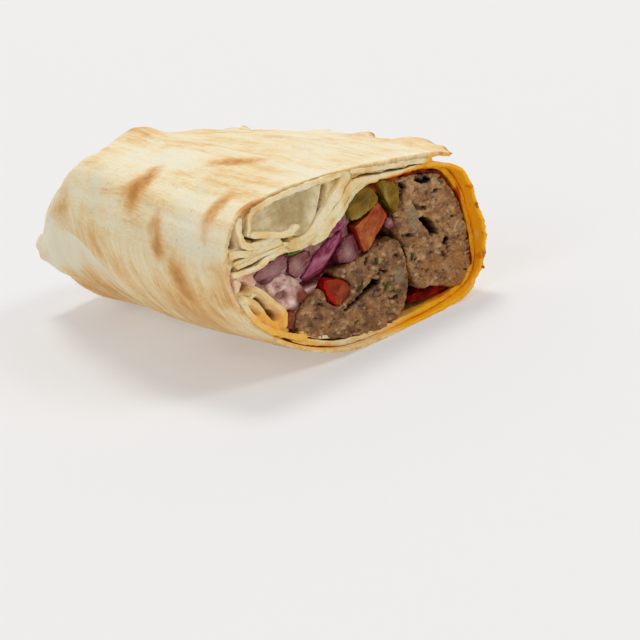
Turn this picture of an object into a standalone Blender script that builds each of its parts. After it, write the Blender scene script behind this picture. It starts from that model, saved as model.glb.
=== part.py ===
"""A kofta wrap cut in two across the middle: one half, lying on its flat side with the cut towards -Y.

A thin flatbread is rolled round two lengths of minced-meat kofta, with tomato, pickle, pickled red onion,
yogurt sauce and chilli sauce, and its other end is folded shut. Every piece is a loft: an outline drawn on the
cut face is carried back through the wrap, and narrows and sinks with the bread as it goes.
"""

import math

import bmesh
import bpy
import numpy as np
from mathutils import Vector
from mathutils.geometry import delaunay_2d_cdt

MM = 0.001

# Driving dimensions, in metres. Depth runs back from the cut face.
HALF_LENGTH = 112.0 * MM
FILLING_DEPTH = 86.0 * MM
BREAD_THICKNESS = 1.15 * MM
LIP_RIGHT = 4.6 * MM
LIP_BOTTOM = 2.2 * MM
FLAT_SPOT = 0.6 * MM
CREASE_HEIGHT = 0.45 * MM
PLEAT_HEIGHT = 1.5 * MM
PLEAT_COUNT = 9
PLEATS_FROM = 88.0 * MM
# How fine the outlines of the fillings are, and how far from its end a filling starts to narrow, in mm.
KOFTA_STEP = 1.9 * MM
FILLING_STEP = 1.5 * MM
END_ROUNDING = 3.0

# How the section changes with depth: depth, width factor, height factor, shift to +X, lift. Lengths in mm.
TAPER = (
    (-10, 1.00, 1.00, 0.0, 0.0),
    (0, 1.00, 1.00, 0.0, 0.0),
    (30, 0.98, 1.06, -1.3, 0.0),
    (60, 0.85, 1.08, -2.6, 0.0),
    (80, 0.72, 1.05, -2.8, 0.0),
    (92, 0.64, 0.92, -3.8, 0.3),
    (101, 0.54, 0.70, -5.4, 1.6),
    (107, 0.43, 0.50, -7.2, 5.0),
    (112, 0.34, 0.29, -9.2, 9.6),
)

# Outlines on the cut face: x to the right and z up, in mm, walked anticlockwise from the top right.
BREAD_OUTSIDE = (
    (33.8, 37.8), (28.2, 40.3), (13.1, 43.3), (-3.9, 45.7), (-20.8, 46.8), (-32.7, 44.1), (-38.3, 35.1),
    (-37.5, 23.9), (-31.6, 14.4), (-22.2, 6.8), (-10.2, 1.8), (3.9, 0.4), (18.1, 0.3), (30.3, 2.0),
    (36.2, 6.2), (38.4, 14.3), (38.0, 24.7), (35.8, 33.2),
)
FILLING_SPACE = (
    (31.3, 33.2), (27.2, 36.3), (18.0, 37.6), (9.0, 38.9), (3.0, 37.4), (-3.0, 33.4), (-9.8, 30.4),
    (-16.0, 30.9), (-24.0, 31.2), (-31.5, 28.8), (-27.6, 23.0), (-24.8, 18.6), (-26.2, 13.6), (-19.0, 8.4),
    (-10.0, 4.1), (4.0, 2.2), (13.6, 4.6), (24.0, 3.7), (31.6, 4.4), (34.8, 9.6), (35.5, 17.5), (34.0, 27.0),
)

# Gaps between the turns and folds of the bread: name, depth they reach in mm, outline.
BREAD_GAPS = (
    ("under_outer_turn", 70, ((27.0, 38.5), (15.0, 41.0), (4.3, 43.7), (3.0, 43.2), (9.5, 41.0), (22.0, 38.9))),
    ("left_pocket", 30, ((-33.2, 42.0), (-34.6, 40.6), (-35.0, 38.6), (-33.2, 38.2), (-32.9, 40.2))),
    ("fold_mouth", 14, ((-29.3, 43.7), (-31.2, 42.0), (-31.5, 40.0), (-30.3, 40.4))),
    ("fold_slit", 16, ((-24.0, 36.8), (-27.4, 38.6), (-31.0, 38.9), (-29.6, 37.7))),
    ("under_fold", 20, ((-16.4, 34.5), (-18.6, 35.7), (-20.8, 35.2), (-19.2, 34.0))),
    ("fold_back", 24, ((-3.6, 42.9), (-5.2, 43.3), (-8.4, 38.4), (-15.0, 33.2), (-11.6, 34.0), (-7.0, 38.6))),
    ("long_slit", 26, ((-23.0, 33.3), (-28.0, 32.7), (-34.0, 32.8), (-34.0, 32.2), (-28.0, 32.1))),
    ("curl_eye", 60, ((-31.6, 21.6), (-33.2, 22.0), (-33.6, 20.9), (-31.4, 18.3), (-30.5, 18.9))),
    ("curl_mouth", 60, ((-28.6, 21.5), (-29.7, 21.9), (-28.5, 17.4), (-27.2, 16.2), (-26.3, 16.9))),
    ("left_corner", 40, ((-33.4, 28.4), (-34.8, 28.3), (-37.0, 26.8), (-36.6, 25.9), (-34.2, 26.9))),
)
# Narrow gaps, each a centre line of even width: name, depth in mm, points.
BREAD_SLITS = (
    ("between_inner_turns", 12, ((-12.2, 31.7), (-6.0, 35.0), (-1.0, 39.1), (2.6, 41.3))),
    ("over_inner_turn", 10, ((-9.2, 31.7), (-4.0, 34.5), (0.6, 37.6), (4.6, 40.0))),
)
# Narrow gaps under the outer turn: name, depth in mm, and the share of the way round where each runs.
TURN_GAPS = (("left_turn", 30, 0.47, 0.62), ("right_turn", 30, 0.86, 0.985))
TURN_GAP_INSET = 1.75 * MM
SLIT_WIDTH = 0.5 * MM
# The broad fold whose pale inner side shows: a shallow hollow that deepens to the right and down.
FOLD_HOLLOW = (
    (-8.2, 43.0), (-16.0, 43.8), (-24.0, 44.0), (-28.2, 42.8), (-28.2, 40.0), (-20.0, 37.6), (-14.8, 36.0),
    (-11.2, 38.2),
)
FOLD_HOLLOW_DEPTH = 4.5 * MM
FOLD_HOLLOW_SLOPE = (0.22, -0.25)

# Fillings: name, colour, roughness, length in mm, how far the cut end stands in front of the cut face in mm,
# outline.
FILLINGS = (
    ("kofta_right", "8A7666", 0.75, 86, 0.7, (
        (30.2, 33.1), (25.5, 35.0), (20.5, 36.5), (16.2, 36.3), (17.6, 33.6), (16.9, 30.9), (14.1, 28.9),
        (14.0, 25.0), (14.8, 21.0), (15.4, 17.5), (15.3, 13.0), (16.8, 8.6), (20.6, 7.7), (26.6, 5.2),
        (30.0, 4.7), (33.3, 7.6), (34.7, 13.0), (34.8, 19.0), (33.4, 26.5))),
    ("kofta_left", "8A7666", 0.75, 86, 0.4, (
        (13.2, 21.9), (8.5, 23.2), (2.5, 22.3), (-3.0, 21.4), (-7.6, 21.0), (-4.2, 18.4), (-3.4, 15.6),
        (-5.0, 13.6), (-8.6, 12.7), (-11.2, 14.6), (-12.6, 18.3), (-15.8, 18.0), (-20.4, 15.3),
        (-21.3, 12.2), (-16.6, 8.2), (-8.5, 4.9), (1.5, 3.0), (7.5, 3.6), (12.0, 7.0), (14.3, 13.4),
        (14.4, 18.0))),
    ("tomato_wedge", "B5603A", 0.35, 84, 0.8, (
        (9.2, 33.6), (5.5, 31.7), (1.0, 30.2), (1.7, 26.4), (2.4, 23.4), (5.6, 24.8), (9.6, 27.8),
        (11.2, 29.8), (10.4, 32.4))),
    ("tomato_chunk", "A83A20", 0.35, 84, 0.6, (
        (-5.2, 18.0), (-7.8, 19.9), (-10.8, 20.6), (-11.8, 19.0), (-10.7, 15.4), (-8.6, 13.4), (-5.6, 14.5),
        (-4.1, 16.2))),
    ("tomato_strip", "A85A40", 0.35, 46, 0.0, (
        (-21.3, 15.9), (-22.8, 17.0), (-24.4, 15.4), (-25.2, 13.9), (-22.6, 12.2), (-21.9, 13.8))),
    ("pickle_slice", "9A9A55", 0.3, 84, 0.2, (
        (9.2, 35.6), (7.2, 38.0), (3.4, 37.0), (0.6, 34.8), (1.6, 32.2), (5.0, 32.4), (8.8, 34.0))),
    ("pickle_end", "A39A35", 0.3, 84, 0.2, (
        (14.9, 36.6), (12.6, 37.8), (10.6, 37.6), (11.6, 34.0), (13.4, 30.1), (14.4, 30.1), (16.1, 31.3),
        (17.0, 33.4))),
    ("red_onion_long", "7D3355", 0.25, 84, 0.0, (
        (-2.4, 30.2), (-6.5, 29.4), (-11.6, 27.2), (-16.6, 23.4), (-15.2, 22.2), (-10.0, 23.7), (-5.9, 26.4),
        (-3.4, 28.6))),
    ("red_onion_top", "84405F", 0.25, 84, -0.4, (
        (-0.3, 34.3), (-4.0, 32.2), (-8.2, 30.3), (-5.0, 30.6), (-1.7, 31.2))),
    ("red_onion_middle", "6E4059", 0.25, 84, -0.6, (
        (-12.9, 29.1), (-18.6, 28.8), (-19.6, 26.2), (-17.5, 24.2), (-13.6, 26.6))),
    ("red_onion_left", "8A5A70", 0.25, 84, -0.6, (
        (-20.3, 30.2), (-25.0, 30.4), (-29.8, 28.2), (-27.4, 26.7), (-22.5, 27.0), (-20.2, 28.0))),
    ("red_onion_chunk", "8E5468", 0.25, 84, 0.2, (
        (0.5, 28.4), (-2.6, 27.9), (-5.0, 25.8), (-5.2, 23.2), (-1.5, 22.1), (0.9, 23.6))),
    ("onion_bit", "B99A8C", 0.3, 18, 0.3, (
        (13.0, 28.2), (11.6, 28.6), (10.6, 27.2), (11.5, 26.3), (13.2, 26.1))),
    ("green_leaf", "4F5A22", 0.4, 14, -0.3, (
        (-15.6, 30.1), (-17.6, 30.6), (-19.4, 30.5), (-17.6, 30.0))),
    ("yogurt_sauce", "C9A6A0", 0.2, 84, -0.8, (
        (-18.4, 23.5), (-22.0, 25.7), (-26.6, 25.6), (-26.0, 22.0), (-23.4, 18.4), (-20.6, 16.7),
        (-16.9, 18.7), (-17.2, 21.0))),
    ("chilli_sauce", "8E1608", 0.2, 84, -1.2, (
        (23.0, 6.0), (18.0, 6.9), (14.3, 6.5), (14.9, 5.3), (20.0, 4.7), (26.5, 4.4))),
)
BREAD_COLOUR = "E6D3AE"
# Open cracks in the cut ends of the kofta: name, depth in mm, outline.
KOFTA_CRACKS = {
    "kofta_right": ("crack_right", 6, ((22.6, 25.2), (21.5, 25.3), (22.2, 21.6), (23.5, 19.3), (25.2, 20.2))),
    "kofta_left": ("crack_left", 6, ((4.0, 15.1), (-1.0, 13.4), (-6.9, 11.6), (-6.0, 10.9), (0.0, 12.6),
                                     (5.3, 13.9))),
}
LUMP_HEIGHT = 0.45 * MM
LUMP_SPACING = 2.4 * MM


def srgb(hex_colour):
    """A hex colour as linear red, green, blue and alpha."""
    values = (int(hex_colour[i:i + 2], 16) / 255 for i in (0, 2, 4))
    return tuple(v / 12.92 if v <= 0.04045 else ((v + 0.055) / 1.055) ** 2.4 for v in values) + (1.0,)


def material(name, hex_colour, roughness):
    made = bpy.data.materials.new(name)
    made.use_nodes = True
    shader = made.node_tree.nodes["Principled BSDF"]
    shader.inputs["Base Color"].default_value = srgb(hex_colour)
    shader.inputs["Roughness"].default_value = roughness
    return made


def smooth_curve(points, closed, per_span=8):
    """Points on the Catmull-Rom curve through the given ones, eight to a span."""
    points = np.asarray(points, float) * MM
    if closed:
        padded = np.vstack([points[-1:], points, points[:2]])
    else:
        padded = np.vstack([2 * points[0] - points[1], points, 2 * points[-1] - points[-2]])
    steps = np.arange(per_span)[:, None] / per_span
    spans = []
    for before, start, end, after in zip(padded, padded[1:], padded[2:], padded[3:]):
        spans.append(0.5 * (2 * start + (end - before) * steps
                            + (2 * before - 5 * start + 4 * end - after) * steps ** 2
                            + (3 * start - before - 3 * end + after) * steps ** 3))
    if not closed:
        spans.append(points[-1:])
    return np.vstack(spans)


def even_steps(curve, count, closed):
    """The curve's points set at even distances along it."""
    if closed:
        curve = np.vstack([curve, curve[:1]])
    along = np.concatenate([[0], np.cumsum(np.linalg.norm(np.diff(curve, axis=0), axis=1))])
    wanted = np.linspace(0, along[-1], count, endpoint=not closed)
    return np.stack([np.interp(wanted, along, curve[:, axis]) for axis in (0, 1)], axis=1)


def outline(points, spacing):
    """A closed smooth outline, with a point about every `spacing` metres."""
    curve = smooth_curve(points, closed=True)
    length = np.linalg.norm(np.diff(np.vstack([curve, curve[:1]]), axis=0), axis=1).sum()
    return even_steps(curve, max(10, round(length / spacing)), closed=True)


def outward(ring):
    """Unit normals of an anticlockwise outline, pointing out of it."""
    tangent = np.roll(ring, -1, axis=0) - np.roll(ring, 1, axis=0)
    normal = np.stack([tangent[:, 1], -tangent[:, 0]], axis=1)
    return normal / np.linalg.norm(normal, axis=1, keepdims=True)


def strip_outline(points, width, spacing):
    """The outline of a band of even width along an open smooth curve."""
    curve = smooth_curve(points, closed=False)
    length = np.linalg.norm(np.diff(curve, axis=0), axis=1).sum()
    line = even_steps(curve, max(4, round(length / spacing)), closed=False)
    tangent = np.gradient(line, axis=0)
    side = np.stack([tangent[:, 1], -tangent[:, 0]], axis=1)
    side *= width / 2 / np.linalg.norm(side, axis=1, keepdims=True)
    return np.vstack([line + side, (line - side)[::-1]])


def turn_gap(start, end):
    """The outline of a narrow gap that follows the outside of the bread between two shares of the way round."""
    curve = even_steps(smooth_curve(BREAD_OUTSIDE, closed=True), 200, closed=True)
    line = (curve - outward(curve) * TURN_GAP_INSET)[round(start * 200):round(end * 200) + 1:8]
    return strip_outline(line / MM, SLIT_WIDTH, 3.0 * MM)


def taper_at(depth):
    """Width factor, height factor, shift and lift at a depth, read smoothly between the rows of TAPER."""
    rows = np.array(TAPER, float)
    depths = rows[:, 0] * MM
    row = int(np.clip(np.searchsorted(depths, depth) - 1, 0, len(rows) - 2))
    slopes = np.gradient(rows[:, 1:], depths, axis=0)
    slopes[:2] = 0
    step = depths[row + 1] - depths[row]
    t = min(max((depth - depths[row]) / step, 0.0), 1.0)
    start, end = rows[row, 1:], rows[row + 1, 1:]
    values = ((2 * t ** 3 - 3 * t ** 2 + 1) * start + (t ** 3 - 2 * t ** 2 + t) * step * slopes[row]
              + (3 * t ** 2 - 2 * t ** 3) * end + (t ** 3 - t ** 2) * step * slopes[row + 1])
    return values[0], values[1], values[2] * MM, values[3] * MM


def place(ring, depth):
    """The outline's points at a depth, or each at a depth of its own, as x, y, z."""
    depths = np.broadcast_to(np.asarray(depth, float), (len(ring),))
    width, height, shift, lift = np.array([taper_at(value) for value in depths]).T
    return np.stack([shift + width * ring[:, 0], depths, lift + height * ring[:, 1] - FLAT_SPOT], axis=1)


def loft(name, rings, paint, collection, cutter=False):
    """A closed solid through rings of equally many points, the first ring in front, with flat ends."""
    mesh = bpy.data.meshes.new(name)
    work = bmesh.new()
    rows = [[work.verts.new(point) for point in ring] for ring in rings]
    count = len(rows[0])
    for front, back in zip(rows, rows[1:]):
        for i in range(count):
            after = (i + 1) % count
            work.faces.new((front[i], front[after], back[after], back[i]))
    ends = [work.faces.new(rows[0]), work.faces.new(rows[-1])]
    bmesh.ops.triangulate(work, faces=ends)
    bmesh.ops.recalc_face_normals(work, faces=work.faces)
    work.to_mesh(mesh)
    work.free()
    made = bpy.data.objects.new(name, mesh)
    collection.objects.link(made)
    if cutter:
        made.hide_render = True
        made.display_type = "WIRE"
    else:
        mesh.materials.append(paint)
        mesh.shade_smooth()
        mesh.set_sharp_from_angle(angle=math.radians(40))
    return made


def lumpy_front(kofta, ring, front):
    """Replaces the flat front face of a kofta by a fine net over its outline, raised here and sunk there."""
    low, high = ring.min(axis=0), ring.max(axis=0)
    across, up = np.meshgrid(np.arange(low[0], high[0], LUMP_SPACING), np.arange(low[1], high[1], LUMP_SPACING))
    across[1::2] += LUMP_SPACING / 2
    net = np.stack([across.ravel(), up.ravel()], axis=1)
    reach = np.linalg.norm(net[:, None] - ring[None], axis=2).min(axis=1)
    net = net[reach > 0.55 * LUMP_SPACING]
    flat = [tuple(point) for point in np.vstack([ring, net]) / MM]
    rim = [(i, (i + 1) % len(ring)) for i in range(len(ring))]
    points, _, faces, *_ = delaunay_2d_cdt([Vector(point) for point in flat], rim, [], 1, 1e-4)

    work = bmesh.new()
    work.from_mesh(kofta.data)
    nearest = min(face.calc_center_median().y for face in work.faces)
    old = [face for face in work.faces if face.calc_center_median().y < nearest + 0.01 * MM]
    bmesh.ops.delete(work, geom=old, context="FACES_ONLY")
    corners = {}
    for vertex in work.verts:
        if vertex.is_boundary:
            corners[round(vertex.co.x / MM, 2), round((vertex.co.z + FLAT_SPOT) / MM, 2)] = vertex
    made = []
    for x, z in points:
        key = (round(x, 2), round(z, 2))
        if key not in corners:
            lump = LUMP_HEIGHT * (math.sin(1.1 * x + 0.4 * z) * math.sin(0.9 * z + 1) + 0.5 * math.sin(2.1 * x - z))
            corners[key] = work.verts.new((x * MM, front - lump, z * MM - FLAT_SPOT))
        made.append(corners[key])
    for face in faces:
        work.faces.new([made[i] for i in face])
    bmesh.ops.delete(work, geom=[v for v in work.verts if not v.link_faces], context="VERTS")
    bmesh.ops.recalc_face_normals(work, faces=work.faces)
    work.to_mesh(kofta.data)
    work.free()


def subtract(target, tool):
    cut = target.modifiers.new("cut " + tool.name, "BOOLEAN")
    cut.operation = "DIFFERENCE"
    cut.object = tool


def bread_ring(ring, depth):
    """The bread's outside at a depth: long creases over the top, then pleats that gather at the closed end."""
    turn = np.linspace(0, 2 * math.pi, len(ring), endpoint=False)
    over_top = np.clip((ring[:, 1] - 30 * MM) / (10 * MM), 0, 1)
    creases = CREASE_HEIGHT * over_top * np.sin(9 * turn + depth / (26 * MM)) * np.sin(depth / (34 * MM)) ** 2
    gathered = min(max((depth - PLEATS_FROM) / (HALF_LENGTH - PLEATS_FROM), 0.0), 1.0)
    pleats = PLEAT_HEIGHT * gathered * np.sin(PLEAT_COUNT * turn + 0.7) * np.clip(ring[:, 1] / (12 * MM), 0, 1)
    placed = place(ring + outward(ring) * (creases + pleats)[:, None], depth)
    placed[:, 2] = np.maximum(placed[:, 2], 0)
    return placed


def lip_reach(ring):
    """How far the outer turn stands in front of the cut face: most on the right, less below, none on the left."""
    right = np.clip((ring[:, 0] - 18 * MM) / (18 * MM), 0, 1)
    below = np.clip((14 * MM - ring[:, 1]) / (10 * MM), 0, 1) * np.clip((ring[:, 0] + 30 * MM) / (20 * MM), 0, 1)
    reach = LIP_RIGHT * right ** 0.7 * np.clip((42 * MM - ring[:, 1]) / (8 * MM), 0.25, 1)
    return np.maximum(reach, LIP_BOTTOM * below)


def make_bread(parts, cutters):
    """The rolled flatbread: its outside, less the space of the fillings and the gaps between its layers."""
    ring = outline(BREAD_OUTSIDE, spacing=2.5 * MM)
    front = -LIP_RIGHT - 2 * MM
    depths = [front] + list(np.linspace(0, 84, 12) * MM) + list(np.linspace(88, 112, 9) * MM)
    rings = [bread_ring(ring, depth) for depth in depths]
    bread = loft("flatbread", rings, material("flatbread", BREAD_COLOUR, 0.7), parts)

    # The cut leaves the outer turn standing a little in front of all that it holds.
    inside = ring - outward(ring) * BREAD_THICKNESS
    levels = (front - 2 * MM, 0.0)
    subtract(bread, loft("cut_face", [bread_ring(inside, d) for d in levels], None, cutters, cutter=True))
    far, near = ring + outward(ring) * 4 * MM, ring - outward(ring) * 4 * MM
    reach = lip_reach(ring)
    trimmer = [place(near * 0.4 + (0, 14 * MM), front - 3 * MM), place(far, front - 3 * MM),
               place(far, -reach), place(near, -reach), place(near * 0.4 + (0, 14 * MM), -0.5 * MM)]
    subtract(bread, loft("lip_trim", trimmer, None, cutters, cutter=True))

    def carve(name, shape, depth, steps):
        levels = np.linspace(-8 * MM, 0, 2).tolist() + np.linspace(0, depth, steps)[1:].tolist()
        subtract(bread, loft(name, [place(shape, level) for level in levels], None, cutters, cutter=True))

    carve("filling_space", outline(FILLING_SPACE, 3.0 * MM), FILLING_DEPTH + 0.4 * MM, 9)
    for name, depth, points in BREAD_GAPS:
        carve(name, outline(points, 1.3 * MM), depth * MM, 2 + depth // 16)
    for name, depth, points in BREAD_SLITS:
        carve(name, strip_outline(points, SLIT_WIDTH, 3.0 * MM), depth * MM, 2 + depth // 16)
    for name, depth, start, end in TURN_GAPS:
        carve(name, turn_gap(start, end), depth * MM, 2 + depth // 16)
    hollow = outline(FOLD_HOLLOW, 2.2 * MM)
    offset = hollow - hollow.mean(axis=0)
    floor = FOLD_HOLLOW_DEPTH + FOLD_HOLLOW_SLOPE[0] * offset[:, 0] + FOLD_HOLLOW_SLOPE[1] * offset[:, 1]
    tool = loft("fold_hollow", [place(hollow, -8 * MM), place(hollow, 0), place(hollow, floor)], None, cutters,
                cutter=True)
    subtract(bread, tool)
    return bread


def make_filling(parts, cutters, name, colour, roughness, length, proud, points):
    """A filling that runs back from the cut, where it stands proud or sunk, to an end that is drawn in."""
    spacing = KOFTA_STEP if name.startswith("kofta") else FILLING_STEP
    ring = outline(points, spacing)
    middle = ring.mean(axis=0)
    steps = max(3, round(length / 12))
    rings = [place(ring, depth) for depth in np.linspace(0, (length - END_ROUNDING) * MM, steps)]
    rings[0][:, 1] = -proud * MM
    rings.append(place(middle + (ring - middle) * 0.7, length * MM))
    filling = loft(name, rings, material(name, colour, roughness), parts)
    if name in KOFTA_CRACKS:
        lumpy_front(filling, ring, -proud * MM)
        crack, depth, points = KOFTA_CRACKS[name]
        shape = outline(points, 1.2 * MM)
        tool = loft(crack, [place(shape, level * MM) for level in (-4, 0, depth)], None, cutters, cutter=True)
        subtract(filling, tool)
    return filling


def main():
    for item in list(bpy.data.objects):
        bpy.data.objects.remove(item)
    parts = bpy.data.collections.new("kofta wrap half")
    cutters = bpy.data.collections.new("cutters")
    for collection in (parts, cutters):
        bpy.context.scene.collection.children.link(collection)

    made = [make_bread(parts, cutters)] + [make_filling(parts, cutters, *filling) for filling in FILLINGS]

    # The origin goes under the middle of the bread's box.
    ring = outline(BREAD_OUTSIDE, spacing=2.5 * MM)
    extent = np.vstack([bread_ring(ring, depth) for depth in np.linspace(0, HALF_LENGTH, 57)])
    middle_x = (extent[:, 0].min() + extent[:, 0].max()) / 2
    middle_y = (HALF_LENGTH - lip_reach(ring).max()) / 2
    for item in made + list(cutters.objects):
        item.location = (-middle_x, -middle_y, 0)


main()
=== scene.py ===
"""Half of a kofta wrap, cut across its middle and lying on its flat side with the cut towards the camera.

Every piece is drawn on the face where the wrap was cut, in millimetres, x to the right and z up, and is
carried back from there by its depth. Meshes are worked out as whole arrays and turned to metres at the end.
"""

import math

import bmesh
import bpy
import numpy as np
from mathutils import Matrix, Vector
from mathutils.geometry import delaunay_2d_cdt


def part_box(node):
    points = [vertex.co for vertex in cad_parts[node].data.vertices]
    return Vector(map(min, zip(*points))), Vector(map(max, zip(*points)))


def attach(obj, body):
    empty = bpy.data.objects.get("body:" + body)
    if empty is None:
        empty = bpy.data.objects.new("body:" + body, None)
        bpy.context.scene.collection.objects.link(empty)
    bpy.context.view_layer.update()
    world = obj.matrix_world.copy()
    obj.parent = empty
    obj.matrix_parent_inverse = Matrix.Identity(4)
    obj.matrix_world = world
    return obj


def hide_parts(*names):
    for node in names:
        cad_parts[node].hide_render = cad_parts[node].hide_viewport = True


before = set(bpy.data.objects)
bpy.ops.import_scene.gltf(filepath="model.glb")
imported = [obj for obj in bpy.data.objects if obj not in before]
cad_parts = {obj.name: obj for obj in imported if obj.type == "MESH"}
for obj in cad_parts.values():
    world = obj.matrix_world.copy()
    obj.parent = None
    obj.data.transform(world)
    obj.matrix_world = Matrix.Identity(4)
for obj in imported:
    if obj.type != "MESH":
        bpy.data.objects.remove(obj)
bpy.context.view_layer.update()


# === The roll ==============================================================================================
# A wrap is rolled tight round its filling and narrows to the end where it is folded shut. What is drawn on
# the cut face follows it back: rows of depth, width factor, height factor, shift to +X and lift, in mm.
MM = 0.001
FLAT_SPOT = 0.6
LIP_RIGHT = 4.6
LIP_BOTTOM = 2.2
TAPER = np.array((
    (-10, 1.00, 1.00, 0.0, 0.0),
    (0, 1.00, 1.00, 0.0, 0.0),
    (30, 0.98, 1.06, -1.3, 0.0),
    (60, 0.85, 1.08, -2.6, 0.0),
    (80, 0.72, 1.05, -2.8, 0.0),
    (92, 0.64, 0.92, -3.8, 0.3),
    (101, 0.54, 0.70, -5.4, 1.6),
    (107, 0.43, 0.50, -7.2, 5.0),
    (112, 0.34, 0.29, -9.2, 9.6),
))
TAPER_SLOPES = np.gradient(TAPER[:, 1:], TAPER[:, 0], axis=0)
TAPER_SLOPES[:2] = 0
# The outside of the roll on the cut face, anticlockwise from the top right.
ROLL = (
    (33.8, 37.8), (28.2, 40.3), (13.1, 43.3), (-3.9, 45.7), (-20.8, 46.8), (-32.7, 44.1), (-38.3, 35.1),
    (-37.5, 23.9), (-31.6, 14.4), (-22.2, 6.8), (-10.2, 1.8), (3.9, 0.4), (18.1, 0.3), (30.3, 2.0),
    (36.2, 6.2), (38.4, 14.3), (38.0, 24.7), (35.8, 33.2),
)


def curve(points, step, closed=False):
    """Points at even steps on the Catmull-Rom curve through the given ones."""
    points = np.asarray(points, float)
    if closed:
        ends = np.vstack([points[-1:], points, points[:2]])
    else:
        ends = np.vstack([2 * points[0] - points[1], points, 2 * points[-1] - points[-2]])
    t = np.linspace(0, 1, 24, endpoint=False)[:, None]
    spans = [0.5 * (2 * b + (c - a) * t + (2 * a - 5 * b + 4 * c - d) * t ** 2
                    + (3 * b - a - 3 * c + d) * t ** 3)
             for a, b, c, d in zip(ends, ends[1:], ends[2:], ends[3:])]
    dense = np.vstack(spans + [points[:1] if closed else points[-1:]])
    along = np.concatenate([[0], np.cumsum(np.linalg.norm(np.diff(dense, axis=0), axis=1))])
    count = max(4, round(along[-1] / step))
    wanted = np.linspace(0, along[-1], count + (not closed), endpoint=not closed)
    return np.stack([np.interp(wanted, along, dense[:, axis]) for axis in (0, 1)], axis=1)


def side_of(line, closed=False):
    """Unit normals to the right of a line of points, so outward for an anticlockwise outline."""
    if closed:
        tangent = np.roll(line, -1, axis=0) - np.roll(line, 1, axis=0)
    else:
        tangent = np.gradient(line, axis=0)
    tangent /= np.linalg.norm(tangent, axis=1, keepdims=True) + 1e-12
    return np.stack([tangent[:, 1], -tangent[:, 0]], axis=1)


def carried(x, z, depth, origin=(0.0, 0.0)):
    """Where points (x, z) of the cut face go at a depth, in mm: x is scaled and shifted and z scaled and lifted
    by the Hermite curves through the rows of TAPER, whose slopes are the rows' own gradients."""
    x, z, depth = np.broadcast_arrays(x, z, depth)
    row = np.clip(np.searchsorted(TAPER[:, 0], depth) - 1, 0, len(TAPER) - 2)
    step = (TAPER[row + 1, 0] - TAPER[row, 0])[..., None]
    t = np.clip((depth - TAPER[row, 0])[..., None] / step, 0, 1)
    values = ((2 * t ** 3 - 3 * t ** 2 + 1) * TAPER[row, 1:]
              + (t ** 3 - 2 * t ** 2 + t) * step * TAPER_SLOPES[row]
              + (3 * t ** 2 - 2 * t ** 3) * TAPER[row + 1, 1:]
              + (t ** 3 - t ** 2) * step * TAPER_SLOPES[row + 1])
    width, height, shift, lift = np.moveaxis(values, -1, 0)
    return np.stack([origin[0] + shift + width * x, origin[1] + depth, lift + height * z - FLAT_SPOT], axis=-1)


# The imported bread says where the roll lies: its box is centred on the roll, and starts at the lip's rim.
roll = curve(ROLL, 1.0, closed=True)
reach_of_roll = carried(roll[:, 0], roll[:, 1], np.linspace(0, 112, 57)[:, None])[..., 0]
bread_low, bread_high = (np.array(corner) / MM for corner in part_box("flatbread"))
ORIGIN = ((bread_low[0] + bread_high[0] - reach_of_roll.min() - reach_of_roll.max()) / 2,
          bread_low[1] + LIP_RIGHT)


# === The outer turn of the flatbread =======================================================================
# One thin sheet of griddled flatbread goes once round everything. Its free edge lies along the right shoulder,
# over the place where the sheet itself runs in under the top, and at the cut it stands out on the right.
SHEET = 1.15
OUTER_TURN = ((35.3, 37.2), (33.4, 38.5)) + ROLL[1:-1] + ((36.1, 32.2), (33.6, 35.4), (30.2, 37.0),
                                                          (25.5, 38.3))
OUTER_STEP = 0.56
TURN_LENGTH = 207.6
LIP_SHARE = 0.84
SHOULDER_DEPTH = 112.0
CREASE_HEIGHT = 0.45
PLEAT_HEIGHT = 1.9
PLEATS_FROM = 88.0
# Toasted spots: place along the turn, depth, half length, half width in mm, tilt in degrees, strength.
TOAST_SPOTS = (
    (68.6, 39.4, 7.2, 4.3, -8, 1.0), (60.5, 43.4, 4.5, 3.2, -45, 0.5), (77.5, 27.0, 6.0, 3.4, -7, 0.7),
    (81.5, 26.7, 2.6, 2.6, 0, 0.4), (89.0, 19.4, 8.6, 4.7, -15, 0.9), (79.5, 84.0, 7.0, 8.5, -25, 0.65),
    (84.5, 63.0, 5.0, 4.4, -42, 0.5), (39.5, 77.0, 7.5, 5.5, 10, 0.7), (30.0, 76.0, 1.6, 2.0, 0, 0.9),
    (46.0, 26.4, 7.6, 3.6, 25, 0.9), (21.0, 42.0, 3.5, 8.0, 0, 0.5), (68.0, 8.6, 9.0, 2.8, -10, 0.75),
    (8.0, 84.0, 7.0, 5.5, 0, 0.9), (111.5, 95.0, 8.0, 3.0, -50, 0.6), (27.0, 24.0, 3.0, 8.0, 0, 0.3),
    (6.0, 62.0, 3.0, 7.0, 0, 0.5), (100.0, 66.0, 5.0, 9.0, 30, 0.3), (90.0, 46.0, 7.0, 3.0, 20, 0.35),
    (4.0, 30.0, 2.5, 7.0, 0, 0.5), (13.0, 9.0, 3.0, 4.0, 0, 0.4), (118.0, 30.0, 8.0, 5.0, 20, 0.7),
    (131.0, 70.0, 7.0, 6.0, -15, 0.8), (146.0, 22.0, 6.0, 5.0, 30, 0.7), (158.0, 55.0, 8.0, 4.0, 10, 0.9),
    (171.0, 86.0, 6.0, 5.0, -30, 0.9), (178.0, 30.0, 7.0, 4.0, 15, 0.7), (188.0, 62.0, 8.0, 4.5, -20, 0.95),
    (197.0, 40.0, 6.0, 3.0, 25, 0.7), (186.0, 98.0, 6.0, 4.0, 0, 0.7),
)
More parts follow.
